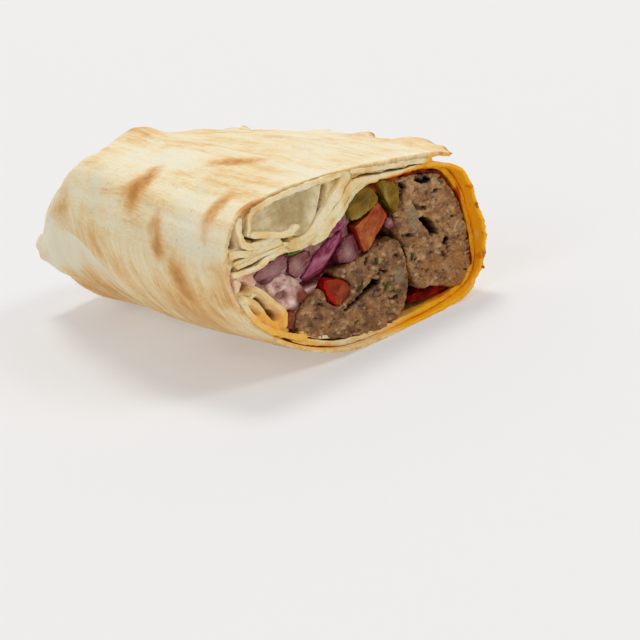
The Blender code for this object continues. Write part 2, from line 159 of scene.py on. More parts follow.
# Floury places, the same way.
FLOURY = (
    (71.0, 61.0, 8.0, 7.0, 0, 0.8), (69.0, 19.5, 6.0, 3.5, 0, 0.6), (61.0, 19.0, 5.0, 4.0, 0, 0.5),
    (79.0, 6.5, 7.0, 3.0, 0, 0.7), (72.0, 33.0, 6.0, 2.2, 0, 0.5), (30.0, 15.0, 7.0, 9.0, 0, 0.4),
    (95.0, 60.0, 6.0, 5.0, 0, 0.4), (100.0, 30.0, 5.0, 6.0, 0, 0.4), (125.0, 50.0, 9.0, 8.0, 0, 0.5),
    (165.0, 30.0, 9.0, 9.0, 0, 0.5), (180.0, 75.0, 8.0, 7.0, 0, 0.5),
)


def scattered(cells, seed):
    """A repeatable number from 0 to 1 for each whole-numbered cell, its three coordinates stirred together."""
    stirred = ((cells * np.array([73856093, 19349663, 83492791])).sum(axis=-1) + seed * 974711) & 0xFFFFFFFF
    stirred = ((stirred ^ (stirred >> 15)) * 739177) & 0xFFFFFFFF
    stirred = ((stirred ^ (stirred >> 12)) * 295559) & 0xFFFFFFFF
    return ((stirred ^ (stirred >> 15)) & 0xFFFF) / 65535.0


# Noise cells are turned by this between octaves, so that their sides never line up into blocks.
CELL_TURN = np.array(Matrix.Rotation(0.9, 3, (0.36, 0.48, 0.8)))


def cloudy(points, size, octaves=3, seed=0):
    """Soft noise from -1 to 1. Random numbers at the corners of cells `size` mm across are blended between the
    corners by t*t*(3-2t), and octaves of half the size and half the height are added, each turned further."""
    total, height, heights = 0.0, 1.0, 0.0
    at = np.asarray(points, float) / np.asarray(size, float)
    for octave in range(octaves):
        at = at @ CELL_TURN * (2 if octave else 1) + 31.7 * octave
        cell = np.floor(at).astype(np.int64)
        t = at - cell
        t = t * t * (3 - 2 * t)
        value = 0.0
        for corner in np.ndindex(2, 2, 2):
            weight = np.prod(np.where(corner, t, 1 - t), axis=-1)
            value = value + weight * scattered(cell + corner, seed + octave)
        total, heights = total + height * (2 * value - 1), heights + height
        height /= 2
    return total / heights


def smoothstep(low, high, value):
    """0 below low, 1 above high, and t*t*(3-2t) between them."""
    t = np.clip((value - low) / (high - low), 0, 1)
    return t * t * (3 - 2 * t)


def in_scene(name, mesh, attributes, merged=True):
    """Gives a mesh its attributes, merges its doubled points (nearer than 2 microns) unless told not to,
    turns its faces outwards and puts it in the scene."""
    for key, values in attributes.items():
        mesh.attributes.new(key, "FLOAT", "POINT").data.foreach_set("value", values.ravel().astype(np.float32))
    work = bmesh.new()
    work.from_mesh(mesh)
    if merged:
        bmesh.ops.remove_doubles(work, verts=work.verts, dist=2e-6)
        bmesh.ops.dissolve_degenerate(work, edges=work.edges, dist=1e-7)
    bmesh.ops.recalc_face_normals(work, faces=work.faces)
    work.to_mesh(mesh)
    work.free()
    mesh.shade_smooth()
    made = bpy.data.objects.new(name, mesh)
    bpy.context.scene.collection.objects.link(made)
    return made


def surface(name, points, attributes=None, around=False, across=False):
    """A grid of points in mm, rows by columns, as a mesh of four-sided faces in metres. `around` joins the last
    column to the first and `across` the last row to the first."""
    rows, columns = points.shape[:2]
    index = np.arange(rows * columns).reshape(rows, columns)
    if around:
        index = np.hstack([index, index[:, :1]])
    if across:
        index = np.vstack([index, index[:1]])
    quads = np.stack([index[:-1, :-1], index[:-1, 1:], index[1:, 1:], index[1:, :-1]], axis=-1).reshape(-1, 4)
    mesh = bpy.data.meshes.new(name)
    mesh.vertices.add(rows * columns)
    mesh.vertices.foreach_set("co", (points.reshape(-1, 3) * MM).astype(np.float32).ravel())
    mesh.loops.add(quads.size)
    mesh.loops.foreach_set("vertex_index", quads.ravel().astype(np.int32))
    mesh.polygons.add(len(quads))
    mesh.polygons.foreach_set("loop_start", np.arange(0, quads.size, 4, dtype=np.int32))
    mesh.update(calc_edges=True)
    return in_scene(name, mesh, {key: np.broadcast_to(values, (rows, columns))
                                 for key, values in (attributes or {}).items()})


def linear(hex_colour):
    """An sRGB hex colour as linear red, green, blue and alpha."""
    values = [int(hex_colour[i:i + 2], 16) / 255 for i in (1, 3, 5)]
    return tuple(v / 12.92 if v <= 0.04045 else ((v + 0.055) / 1.055) ** 2.4 for v in values) + (1.0,)


def add(tree, kind, inputs=None, stops=None, **settings):
    """Adds a node. `inputs` gives each socket, by name or number, a value or another node's output to read, and
    `stops` gives a colour ramp its places and hex colours."""
    made = tree.nodes.new(kind)
    for key, value in settings.items():
        setattr(made, key, value)
    for key, value in (inputs or {}).items():
        if isinstance(value, bpy.types.NodeSocket):
            tree.links.new(value, made.inputs[key])
        else:
            made.inputs[key].default_value = value
    if stops:
        ramp = made.color_ramp
        while len(ramp.elements) < len(stops):
            ramp.elements.new(0.5)
        for element, (place, colour) in zip(ramp.elements, stops):
            element.position, element.color = place, linear(colour)
    return made


def scale_for(size):
    """The scale that puts a texture's features `size` mm apart, as Object coordinates are in metres."""
    return 1 / (size * MM)


def new_material(name):
    """A new material, its node tree, and the Object coordinates that its patterns read."""
    made = bpy.data.materials.new(name)
    made.use_nodes = True
    return made, made.node_tree, add(made.node_tree, "ShaderNodeTexCoord").outputs["Object"]


def stained(tree, colour, key, stain, low, high, most, noise=None, rough=0.0, **settings):
    """The colour, turned to the stain as the attribute `key`, plus `rough` times the noise, goes from low to
    high."""
    strength = add(tree, "ShaderNodeAttribute", attribute_name=key).outputs["Fac"]
    if noise:
        strength = add(tree, "ShaderNodeMath", {0: noise, 1: rough, 2: strength},
                       operation="MULTIPLY_ADD").outputs[0]
    masked = add(tree, "ShaderNodeMapRange",
                 {"Value": strength, "From Min": low, "From Max": high, "To Max": most}, **settings)
    return add(tree, "ShaderNodeMix", {0: masked.outputs[0], 6: colour, 7: linear(stain)},
               data_type="RGBA").outputs[2]


def finish(tree, colour, height, relief, values):
    """Links a material's colour and its bump, `relief` mm high, and sets the shader's own values."""
    bump = add(tree, "ShaderNodeBump", {"Height": height, "Distance": relief * MM, "Strength": 1.0})
    shader = tree.nodes["Principled BSDF"]
    tree.links.new(colour, shader.inputs["Base Color"])
    tree.links.new(bump.outputs[0], shader.inputs["Normal"])
    for key, value in values.items():
        shader.inputs[key].default_value = value


# Griddled flatbread: wheat dough baked thin, matt and a little translucent, pale where it stayed soft and brown
# where it met the griddle. Stretching drew its colour out in streaks, so pale and straw bands lie side by side.
def flatbread(name, doughs, grain_height, light_depth, freckles=3.846, fibres=0.0):
    """A flatbread material. The attribute streak (-1 to 1) chooses between its dough colours, and flour,
    toast, oil, chilli and sauce say how far each has coloured it, and soaked how far it is painted near
    black as shade; toast also paints shade deep in the pockets of the cut bread. `fibres` is how far fine
    strands change it: noise drawn out along the attribute back on top, and along the attribute along where
    on_side is 1. Grain height, how deep light goes and how far apart the freckles lie are in mm."""
    made, tree, place = new_material(name)
    patches, mottle, grain = (
        add(tree, "ShaderNodeTexNoise",
            {"Vector": place, "Scale": scale_for(size), "Detail": detail, "Roughness": roughness})
        for size, detail, roughness in ((10.53, 3, 0.5), (2.083, 4, 0.6), (0.6667, 3, 0.6)))
    speck = add(tree, "ShaderNodeTexVoronoi", {"Vector": place, "Scale": scale_for(freckles)})

    streak = add(tree, "ShaderNodeAttribute", attribute_name="streak").outputs["Fac"]
    along = add(tree, "ShaderNodeAttribute", attribute_name="along").outputs["Fac"]
    back = add(tree, "ShaderNodeAttribute", attribute_name="back").outputs["Fac"]
    # Strands are 0.45 mm wide and 6 mm long: 2.2 and 0.16 to a mm.
    strands = []
    for along_scale, back_scale in ((2.2, 0.16), (0.16, 2.2)):
        stretched = add(tree, "ShaderNodeCombineXYZ", {
            0: add(tree, "ShaderNodeMath", {0: along, 1: along_scale}, operation="MULTIPLY").outputs[0],
            1: add(tree, "ShaderNodeMath", {0: back, 1: back_scale}, operation="MULTIPLY").outputs[0]})
        strands.append(add(tree, "ShaderNodeTexNoise", {
            "Vector": stretched.outputs[0], "Scale": 1.0, "Detail": 3, "Roughness": 0.6}).outputs["Fac"])
    on_side = add(tree, "ShaderNodeAttribute", attribute_name="on_side").outputs["Fac"]
    fibre = add(tree, "ShaderNodeMix", {0: on_side, 2: strands[0], 3: strands[1]}).outputs[0]
    streak = add(tree, "ShaderNodeMath", {0: fibre, 1: fibres, 2: streak}, operation="MULTIPLY_ADD").outputs[0]
    amount = add(tree, "ShaderNodeMath", {0: patches.outputs["Fac"], 1: 0.55, 2: 0.07},
                 operation="MULTIPLY_ADD")
    amount = add(tree, "ShaderNodeMath", {0: mottle.outputs["Fac"], 1: 0.3, 2: amount.outputs[0]},
                 operation="MULTIPLY_ADD")
    amount = add(tree, "ShaderNodeMath", {0: streak, 1: 0.42, 2: amount.outputs[0]}, operation="MULTIPLY_ADD")
    dough = add(tree, "ShaderNodeValToRGB", {"Fac": amount.outputs[0]}, stops=doughs)
    shade = add(tree, "ShaderNodeMapRange", {"Value": grain.outputs["Fac"], "From Min": 0.3, "From Max": 0.7,
                                             "To Min": 0.95, "To Max": 1.04})
    colour = add(tree, "ShaderNodeVectorMath", {0: dough.outputs[0], "Scale": shade.outputs[0]},
                 operation="SCALE").outputs[0]

    # The stain soaked, near black, is painted shade behind the fillings; toast also paints shade deep in
    # pockets.
    for key, low, high, stain, rough, most in (
            ("flour", 0.05, 1.00, "#EBE6CE", 0.30, 0.80), ("toast", 0.12, 0.80, "#DCA45A", 0.35, 0.85),
            ("toast", 0.50, 1.20, "#B2743C", 0.40, 0.85), ("oil", 0.25, 0.85, "#FFB414", 0.30, 1.00),
            ("sauce", 0.35, 0.85, "#DFA595", 0.40, 0.80), ("chilli", 0.30, 0.75, "#C43C08", 0.35, 0.95),
            ("soaked", 0.30, 0.80, "#1C0A04", 0.20, 1.00)):
        colour = stained(tree, colour, key, stain, low + 0.5 * rough, high + 0.5 * rough, most,
                         mottle.outputs["Fac"], rough, interpolation_type="SMOOTHSTEP")
    freckle = add(tree, "ShaderNodeMapRange", {"Value": speck.outputs["Distance"], "From Min": 0.03,
                                               "From Max": 0.09, "To Min": 0.4, "To Max": 0.0})
    colour = add(tree, "ShaderNodeMix", {0: freckle.outputs[0], 6: colour, 7: linear("#9E6C38")},
                 data_type="RGBA").outputs[2]

    height = add(tree, "ShaderNodeMath", {0: grain.outputs["Fac"], 1: 0.35, 2: mottle.outputs["Fac"]},
                 operation="MULTIPLY_ADD")
    finish(tree, colour, height.outputs[0], grain_height, {
        "Roughness": 0.7, "IOR": 1.4, "Specular IOR Level": 0.3, "Subsurface Weight": 0.55,
        "Subsurface Radius": (1.0, 0.7, 0.35), "Subsurface Scale": light_depth * MM})
    return made


def spotted(along, depth, spots, uneven):
    """How far spots cover places along the turn and depths: each is an ellipse with r^2 =
    (a/length)^2+(b/width)^2, turned by its tilt and falling off as exp(-r^2.5), and they add up, times
    `uneven`."""
    toast = np.zeros_like(along)
    for place, back, length, width, tilt, strength in spots:
        turn = math.radians(tilt)
        a = (along - place) * math.cos(turn) + (depth - back) * math.sin(turn)
        b = (depth - back) * math.cos(turn) - (along - place) * math.sin(turn)
        toast = toast + strength * np.exp(-((a / length) ** 2 + (b / width) ** 2) ** 1.25)
    return toast * uneven


def lip_reach(x, z):
    """How far the outer turn stands in front of the cut: most on the right, less below, none on the left."""
    right = np.clip((x - 18) / 18, 0, 1)
    below = np.clip((14 - z) / 10, 0, 1) * np.clip((x + 30) / 20, 0, 1)
    reach = LIP_RIGHT * right ** 0.7 * np.clip((42 - z) / 8, 0.25, 1)
    reach = reach * (1 - 0.45 * smoothstep(16, 6, z) * smoothstep(28, 36, x))
    return np.maximum(reach, LIP_BOTTOM * below)


def stains(x, z, depth):
    """How far oil, chilli and sauce have soaked the bread at a place: oil and chilli on the right and below,
    the pink sauce on the left, each fading over a few millimetres with uneven rims."""
    at = np.stack(np.broadcast_arrays(x, z, depth), axis=-1)
    x, z, depth = at[..., 0], at[..., 1], at[..., 2]
    uneven = cloudy(at, 3.0, 3, seed=11)
    near = np.exp(-np.maximum(depth, 0) / 18)
    below = (0.45 + 0.55 * smoothstep(-6, 20, x)) * smoothstep(-46, 0, x)
    oil = smoothstep(18, 31, x) * smoothstep(41, 37.5, z) + smoothstep(8, 1, z) * below
    oil = oil + 0.64 * smoothstep(27, 17, z + 0.3 * (x + 30)) * smoothstep(-8, -20, x)
    oil = oil + 0.8 * np.exp(-((z - 39.5 + 0.1 * x) / 1.0) ** 2) * smoothstep(2, 11, x)
    most = 1.25 - 0.6 * smoothstep(-10, -20, x) * smoothstep(3, 6, z)
    oil = near * np.clip(oil, 0, most) + 0.22 * uneven * smoothstep(-10, 20, x)
    hot = 0.55 * np.exp(-((x - 27) / 6) ** 2 - ((z - 35.0) / 1.2) ** 2)
    hot = np.maximum(hot, 0.9 * np.exp(-((x - 20) / 11) ** 2 - ((z - 39.2 + 0.1 * x) / 0.8) ** 2))
    hot = np.maximum(hot, 0.62 * np.exp(-((x - 22) / 8) ** 2 - ((z - 4.2) / 1.8) ** 2))
    hot = np.maximum(hot, np.exp(-((x - 34.9) / 0.7) ** 2) * smoothstep(5, 12, z) * smoothstep(33, 26, z))
    pink = np.exp(-((x + 30) / 8) ** 2 - ((z - 28.7) / 2.6) ** 2)
    pink = np.maximum(pink, 0.8 * np.exp(-((x + 37.6) / 1.6) ** 2 - ((z - 29) / 7) ** 2))
    return {"oil": oil, "chilli": near * hot * (1 + 0.3 * uneven), "sauce": near * pink + 0.15 * uneven}


OUTSIDE_BREAD = flatbread("flatbread, griddled", (
    (0.20, "#F0E7D0"), (0.38, "#F2E5C6"), (0.54, "#F0DBB0"), (0.72, "#E9C48A"), (0.95, "#D59E58")), 0.12, 1.5,
    fibres=1.6)
# The inner side is a darker copy of the bread, for the fold's hollow that lies in shade: painted shade.
INNER_BREAD = flatbread("flatbread, inner side, painted shade", (
    (0.10, "#EADCB8"), (0.30, "#CDB88A"), (0.50, "#B89F70"), (0.75, "#9A7E50")), 0.16, 0.8, 1.613)
CUT_BREAD = flatbread("flatbread, cut edge", (
    (0.25, "#F8E8C4"), (0.45, "#F3D9A2"), (0.62, "#E9C27E"), (0.80, "#D6A452")), 0.22, 0.9, 2.381)

# The free edge is torn. Torn places: depth, half length, how far the edge is gone, how far it stands up, in mm.
TEAR_SIZE = 0.9
TORN_PLACES = ((2.0, 5.0, 1.2, 1.0), (13.0, 6.0, 0.0, 1.4), (30.5, 2.4, -0.9, 1.5), (43.0, 2.5, 1.2, 0.4),
               (46.5, 1.6, -0.6, 1.0), (62.0, 5.0, -0.5, 0.6), (70.5, 1.2, 1.6, 0.3), (80.0, 9.0, -0.4, 1.9),
               (88.5, 1.2, 1.6, -0.4))
EDGE_WIDTH = 6.0
# At the far end the sheet is tucked: past a fold line (depth, place along the turn) it lies lower and is
# pale, and a tongue of it sticks out behind: place along the turn, half width, length, in mm.
TUCK_LINE = ((58.0, 96.0), (68.0, 89.5), (82.5, 85.5), (99.0, 75.5), (112.0, 70.0))
TUCK_STEP = 1.0
TONGUE = (82.0, 13.0, 3.1)
# Where the far shoulders were pressed: place along the turn, depth, half length, half width, height, in mm.
PRESSED = ((40.5, 77.0, 11.0, 8.0, 2.5), (58.5, 86.0, 7.0, 7.0, -3.3), (67.0, 92.0, 8.0, 8.0, -2.6),
           (1.5, 12.0, 4.5, 8.0, 0.9))

# The line of the turn, the ways out from it and ahead along it, and where it lies on top, on the left and at
# the free edge, which is rounded off.
turn = curve(OUTER_TURN, OUTER_STEP)
turn_side = side_of(turn)
turn_ahead = np.stack([-turn_side[:, 1], turn_side[:, 0]], axis=1)
turn_along = np.arange(len(turn)) * np.linalg.norm(np.diff(turn, axis=0), axis=1).mean()
over_top = smoothstep(27, 41, turn[:, 1])
on_left = smoothstep(-12, -28, turn[:, 0])
near_edge = smoothstep(EDGE_WIDTH, 0, turn_along)
free_edge = np.sqrt(np.clip(1 - (1 - np.clip(turn_along / 0.7, 0, 1)) ** 2, 0, 1))
free_edge = free_edge * free_edge[::-1]

# Depths of the rows, from the folded end along the outside to the cut, over its rim and back on the inside.
outer_rows = np.concatenate([np.linspace(SHOULDER_DEPTH, 6, 174), np.linspace(5.5, 0.0, 14)])
rim = np.linspace(0, math.pi, 11)
inner_rows = np.concatenate([np.linspace(0.0, 5.5, 12), np.linspace(6.5, 40, 20), np.linspace(46, 100, 9)])
depth = np.concatenate([outer_rows, 0 * rim, inner_rows])[:, None]
flat_cosine = np.sign(np.cos(rim)) * np.abs(np.cos(rim)) ** (2 / 3)
across = np.concatenate([np.ones(len(outer_rows)), flat_cosine, -np.ones(len(inner_rows))])[:, None]
over_rim = np.concatenate([0 * outer_rows, np.sin(rim) ** (2 / 3), 0 * inner_rows])[:, None]

# Noise is read at places on the sheet, in mm along the turn and in depth. The rim is ragged, and stands in
# front of the cut by its reach.
place = np.stack(np.broadcast_arrays(turn_along[None], depth, 0.0 * across), axis=-1)
here = np.stack([turn_along, 0 * turn_along, 0 * turn_along], -1)
ragged = 0.4 * cloudy(here, 2.2, 4, seed=21) + 0.3 * np.maximum(cloudy(here, 0.9, 2, seed=22), 0) - 0.1
reach = lip_reach(turn[:, 0], turn[:, 1]) * smoothstep(0, 3, turn_along[-1] - turn_along)
reach = LIP_SHARE * reach + ragged * (0.8 + 2.0 * smoothstep(20, 34, turn[:, 0]))

# The sheet's relief: long creases and ripples on top, pleats gathered towards the folded end, fine wrinkles
# on the left and soft swells all over.
around_turn = 2 * math.pi * turn_along / TURN_LENGTH
creases = CREASE_HEIGHT * over_top * np.sin(9 * around_turn + depth / 26) * np.sin(depth / 34) ** 2
gathered = np.clip((depth - PLEATS_FROM) / (SHOULDER_DEPTH - PLEATS_FROM), 0, 1)
pleats = PLEAT_HEIGHT * gathered * np.clip(turn[:, 1] / 12, 0, 1) * (
    0.6 * np.sin(9 * around_turn + 0.7) + 0.4 * np.sin(16 * around_turn + depth / 9))
ripples = 0.42 * over_top * cloudy(place, (3.4, 42, 1), 3, seed=31)
wrinkles = 0.14 * on_left * (1 - over_top) * cloudy(place, (24, 2.1, 1), 3, seed=32)
swells = 0.35 * cloudy(place, (13, 17, 1), 2, seed=33) + 0.05 * cloudy(place, 1.5, 2, seed=34)

# Streaks of colour lie along the roll on top and round it on the sides.
warped = place + np.stack([1.3 * cloudy(place, 12, 3, seed=36), 1.6 * cloudy(place, 12, 3, seed=37),
                           0 * place[..., 0]], -1)
lengthways = cloudy(warped, (2.0, 26, 1), 4, seed=38)
roundways = cloudy(warped, (20, 2.6, 1), 4, seed=39)
streak = over_top * lengthways + (1 - over_top) * roundways
tucked = turn_along - np.interp(depth, *np.transpose(TUCK_LINE))
tucked = smoothstep(-0.3, 0.9, tucked) * smoothstep(56, 72, depth) * smoothstep(124, 108, turn_along)
streak = (0.7 - 0.2 * on_left * (1 - over_top)) * streak + 0.5 * cloudy(place, (11, 16, 1), 2, seed=40)
# The sides, which turn away from the light, get a darker, warmer straw than the top: painted shade. The lower
# left is darker still.
streak = streak + 0.42 * (1 - over_top) - 0.8
streak = streak + 0.3 * on_left * smoothstep(30, 6, turn[:, 1])

# The free edge is torn in and out along the turn, and raised in places.
torn = TEAR_SIZE * (0.6 * cloudy(place * (0, 1, 0), 3.2, 3, seed=41)
                    + 0.4 * cloudy(place * (0, 1, 0), 1.1, 2, seed=42))
raised = 0.35 + 0.35 * cloudy(place * (0, 1, 0), 7.0, 2, seed=43)
for back, half_length, gone, up in TORN_PLACES:
    share = np.exp(-((depth - back) / half_length) ** 4)
    torn, raised = torn + gone * share, raised + up * share
torn, raised = torn * near_edge, raised * near_edge ** 2

# Relief lifts the sheet out from its line, less on its flat side and at the cut, and the tuck and the pressed
# shoulders add to it.
standing = smoothstep(0, 6, turn[:, 1])
lift_out = creases + pleats + ripples + wrinkles + 0.12 * streak + swells * standing
lift_out = lift_out * smoothstep(-1, 7, depth)
lift_out = lift_out + raised * smoothstep(0.0, 4.0, depth) - TUCK_STEP * tucked
for along, back, half_length, half_width, height in PRESSED:
    away = ((turn_along - along) / half_length) ** 2 + ((depth - back) / half_width) ** 2
    lift_out = lift_out + height * np.exp(-away)
# The sheet is thickest over the top right of the cut, crumbles where the knife tore it, and its inside
# follows the outside near the cut but, further in, only where that is pushed inwards.
rim_top = smoothstep(34, 42, turn[:, 1]) * smoothstep(32, 24, turn[:, 0])
thick = SHEET * (1 + 0.15 * cloudy(place, (9, 14, 1), 2, seed=35)) * free_edge
thick = thick * (1 + rim_top * (0.6 + 0.9 * smoothstep(-2, 6, turn[:, 0])) * smoothstep(8, 0, depth)
                 * (1 + 0.5 * cloudy(here, 3.5, 3, seed=44)))
round_rim = np.stack(np.broadcast_arrays(turn_along[None], 2.2 * across, 0.0 * across), axis=-1)
crumbly = cloudy(round_rim, (0.8, 0.9, 1), 3, seed=49)
shown_depth = depth - (0.3 * thick + (0.45 + 0.5 * rim_top) * crumbly) * over_rim
shown_depth = shown_depth - reach * np.exp(-np.maximum(depth, 0) / 12)
shown_depth = shown_depth + 0.9 * rim_top * smoothstep(1, -1, across) * smoothstep(4, 0, depth)
tongue = np.exp(-((turn_along - TONGUE[0]) / TONGUE[1]) ** 4)
shown_depth = shown_depth + TONGUE[2] * smoothstep(100, 112, depth) * tongue
follows = smoothstep(1.0, 0.0, (1 - across) / 2 * smoothstep(0, 30, depth))
offset = lift_out * follows + np.minimum(lift_out, 0) * (1 - follows) + (across - 1) / 2 * thick
ring_x = turn[:, 0] + turn_side[:, 0] * offset + turn_ahead[:, 0] * torn
ring_z = turn[:, 1] + turn_side[:, 1] * offset + turn_ahead[:, 1] * torn
points = carried(ring_x, ring_z, shown_depth, ORIGIN)
points[..., 2] = np.maximum(points[..., 2], 0)

# The folded end is pinched shut along a line across its middle, and a wall closes the inside past the fillings.
end_x, end_z = points[0, :, 0].mean(), points[0, :, 2].mean()
closing = np.linspace(1, 0, 12)[1:, None]
pinch_x = end_x + (points[0, :, 0] - end_x) * 0.42
pinch_y = points[0, :, 1].mean() + 1.2 + 0.35 * np.sin(pinch_x * 1.1)
pinch_z = end_z + 0.5 * np.sin(pinch_x * 0.7) * (1 - closing)
cap = np.stack([pinch_x + (points[0, :, 0] - pinch_x) * closing ** 0.6,
                pinch_y + (points[0, :, 1] - pinch_y) * closing ** 2,
                pinch_z + (points[0, :, 2] - end_z) * closing], axis=-1)[::-1]
end_middle = points[-1].mean(axis=0)
wall = end_middle + (points[-1] - end_middle) * np.array((0.6, 0.25, 0.0))[:, None, None]
points = np.concatenate([cap, points, wall])
# Its colour: toasted spots with uneven rims, toast along the cut and the free edge, flour where it was tucked
# or rests in clouds, and the filling's stains, which fade on the outside.
uneven = 1.0 + 0.25 * cloudy(place, 5.0, 3, seed=3) + 0.3 * cloudy(warped, (0.8, 0.8, 1), 2, seed=4)
outside = smoothstep(-0.6, 0.6, across)
toast = spotted(*np.moveaxis(warped[..., :2], -1, 0), TOAST_SPOTS, uneven) * outside
flour = spotted(warped[..., 0], warped[..., 1], FLOURY, 0.8) + 1.0 * tucked * smoothstep(105, 92, turn_along)
flour = flour + 0.6 * cloudy(warped, (7, 7, 1), 4, seed=5)
charred = smoothstep(0.15, 0.6, cloudy(here, 2.4, 2, seed=45)) * smoothstep(26, 34, turn[:, 0])
toast = toast + (0.9 * charred + 0.5 * rim_top * smoothstep(-0.2, 0.4, crumbly)) * over_rim
toast = toast + 0.9 * np.exp(-((turn[:, 0] + 28) / 4) ** 2) * rim_top * smoothstep(2.0, 0.5, depth) * outside
toast = toast + 0.8 * np.clip(raised, 0, 1.5) * near_edge ** 6 * outside
toast_patches = smoothstep(0.0, 0.5, cloudy(place * (0, 1, 0), 9.0, 2, seed=46))
toast = toast + 0.5 * near_edge ** 2 * toast_patches * (across > 0)
marks = stains(ring_x, ring_z, shown_depth)
pale_patches = smoothstep(-0.1, 0.5, cloudy(place, (3.0, 2.0, 1), 3, seed=47)) * smoothstep(26, 33, turn[:, 0])
marks["oil"] = np.minimum(marks["oil"], 1.0) - 0.36 * pale_patches
chilli_patches = smoothstep(0.1, 0.5, cloudy(place, 2.4, 3, seed=48))
marks["chilli"] = marks["chilli"] + 0.55 * chilli_patches * (turn[:, 0] > 30)
fades = (0.45 + 0.45 * smoothstep(140, 160, turn_along)) * smoothstep(6, -4, shown_depth)
fades = np.where(across > 0, fades, 1.0)
streak = streak * (1 - over_rim) + over_rim * (-0.35 + 0.9 * crumbly)
marks = {key: values * fades for key, values in marks.items()} | {
    "toast": toast, "streak": streak, "flour": flour * outside, "along": warped[..., 0], "back": warped[..., 1],
    "on_side": 1 - over_top + 0 * depth}
marks = {key: np.pad(values, ((len(cap), len(wall)), (0, 0)), mode="edge") for key, values in marks.items()}
outer_turn = surface("flatbread_outer_turn", points, marks)
outer_turn.data.materials.append(OUTSIDE_BREAD)
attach(outer_turn, "root")
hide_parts("flatbread")


# === The inner turns and folds of the flatbread ============================================================
# Inside the outer turn the sheet goes on round the fillings, and its spare end is folded back and forth at
# the top left and curled at the lower left. Each strip is a ribbon of sheet with a soft cut edge, run back in
# depth. Name, thickness, how far it stands in front of the cut, depth it runs back, how far its sides are
# browned, points.
STRIPS = (
    ("second_turn", 1.4, 0.1, 34, 0.5, (
        (-12.3, 30.5), (-9.0, 30.9), (-6.0, 32.2), (0.0, 35.6), (4.0, 38.4), (8.0, 39.6), (12.0, 39.3),
        (18.0, 38.2), (22.0, 37.8), (26.5, 37.2), (31.2, 35.0), (34.2, 30.6), (36.0, 24.4), (36.4, 15.0),
        (34.6, 7.9), (29.4, 3.9), (18.1, 2.4), (3.9, 2.4), (-9.6, 3.8), (-19.0, 7.6), (-24.0, 10.4))),
    ("under_top", 1.2, 0.6, 20, 0.3, (
        (3.0, 43.8), (6.5, 43.0), (11.0, 42.0), (15.8, 40.9), (20.5, 40.1), (25.5, 38.9), (28.8, 37.9))),
    ("rising_fold", 2.0, 0.1, 26, 0.3, (
        (-14.6, 31.7), (-10.6, 32.0), (-7.0, 33.6), (-3.2, 35.8), (0.3, 38.2), (2.6, 39.8), (4.8, 40.3),
        (7.7, 39.9), (11.5, 39.3))),
    ("upper_fold", 2.5, 0.3, 12, 0.2, (
        (-19.6, 32.9), (-15.4, 32.3), (-12.2, 33.0), (-8.6, 35.2), (-4.2, 38.2), (-0.8, 40.8), (1.4, 42.8),
        (2.8, 44.6))),
    ("fold_lower_rim", 1.5, 1.0, 12, 0.1, (
        (-29.6, 39.2), (-26.3, 38.2), (-23.1, 37.0), (-20.6, 36.1), (-18.4, 35.8), (-16.8, 36.5),
        (-15.4, 36.6))),
    ("fold_left_rim", 1.0, 0.8, 12, 0.1, (
        (-26.6, 44.6), (-28.2, 43.8), (-29.0, 42.4), (-29.4, 40.8), (-30.1, 39.0))),
    ("fold_top_rim", 1.4, 0.5, 6, 0.3, (
        (-28.0, 44.6), (-20.0, 45.2), (-13.0, 45.1), (-6.0, 44.7), (1.5, 43.9))),
    ("pocket_turn", 1.7, 0.4, 7, 0.2, (
        (-30.8, 44.0), (-31.6, 43.2), (-32.0, 41.8), (-32.2, 40.2), (-32.1, 38.6), (-31.3, 37.2), (-29.8, 36.4),
        (-27.6, 36.1), (-25.3, 36.0), (-22.8, 35.8), (-21.2, 35.2))),
    ("left_layer_top", 1.7, 0.1, 8, 0.3, (
        (-36.4, 36.2), (-33.6, 35.8), (-31.0, 35.0), (-28.0, 34.9), (-25.0, 34.8), (-22.6, 34.5),
        (-20.6, 34.1))),
    ("left_layer_middle", 1.0, 0.0, 8, 0.6, ((-35.6, 33.7), (-31.0, 33.8), (-26.0, 33.8), (-21.6, 33.5))),
    ("left_layer_third", 1.0, 0.3, 8, 0.4,
     ((-35.2, 32.9), (-31.4, 32.9), (-28.0, 33.1), (-24.0, 33.0), (-20.0, 33.0))),
    ("left_layer_low", 1.3, 0.3, 8, 0.5, (
        (-36.8, 31.4), (-33.4, 31.1), (-30.6, 30.8), (-28.4, 30.9), (-25.4, 31.9), (-22.4, 32.2), (-19.6, 31.9),
        (-16.4, 31.2), (-12.6, 31.0))),
    ("middle_layer", 1.1, 0.6, 24, 0.5, ((-20.8, 33.9), (-18.4, 32.7), (-16.0, 32.2), (-13.1, 32.2),
                                         (-10.4, 32.6))),
    ("curl_left", 1.5, 0.3, 6, 0.2, (
        (-35.4, 24.8), (-35.0, 22.8), (-33.9, 20.1), (-32.2, 17.4), (-29.8, 15.0), (-27.3, 13.1), (-24.8, 11.6),
        (-22.2, 10.2), (-19.6, 9.0))),
    ("third_turn", 1.0, 0.1, 12, 0.4, ((-21.4, 11.2), (-18.6, 9.3), (-15.5, 7.6), (-12.4, 6.5))),
)
STRIP_STEP = 0.26


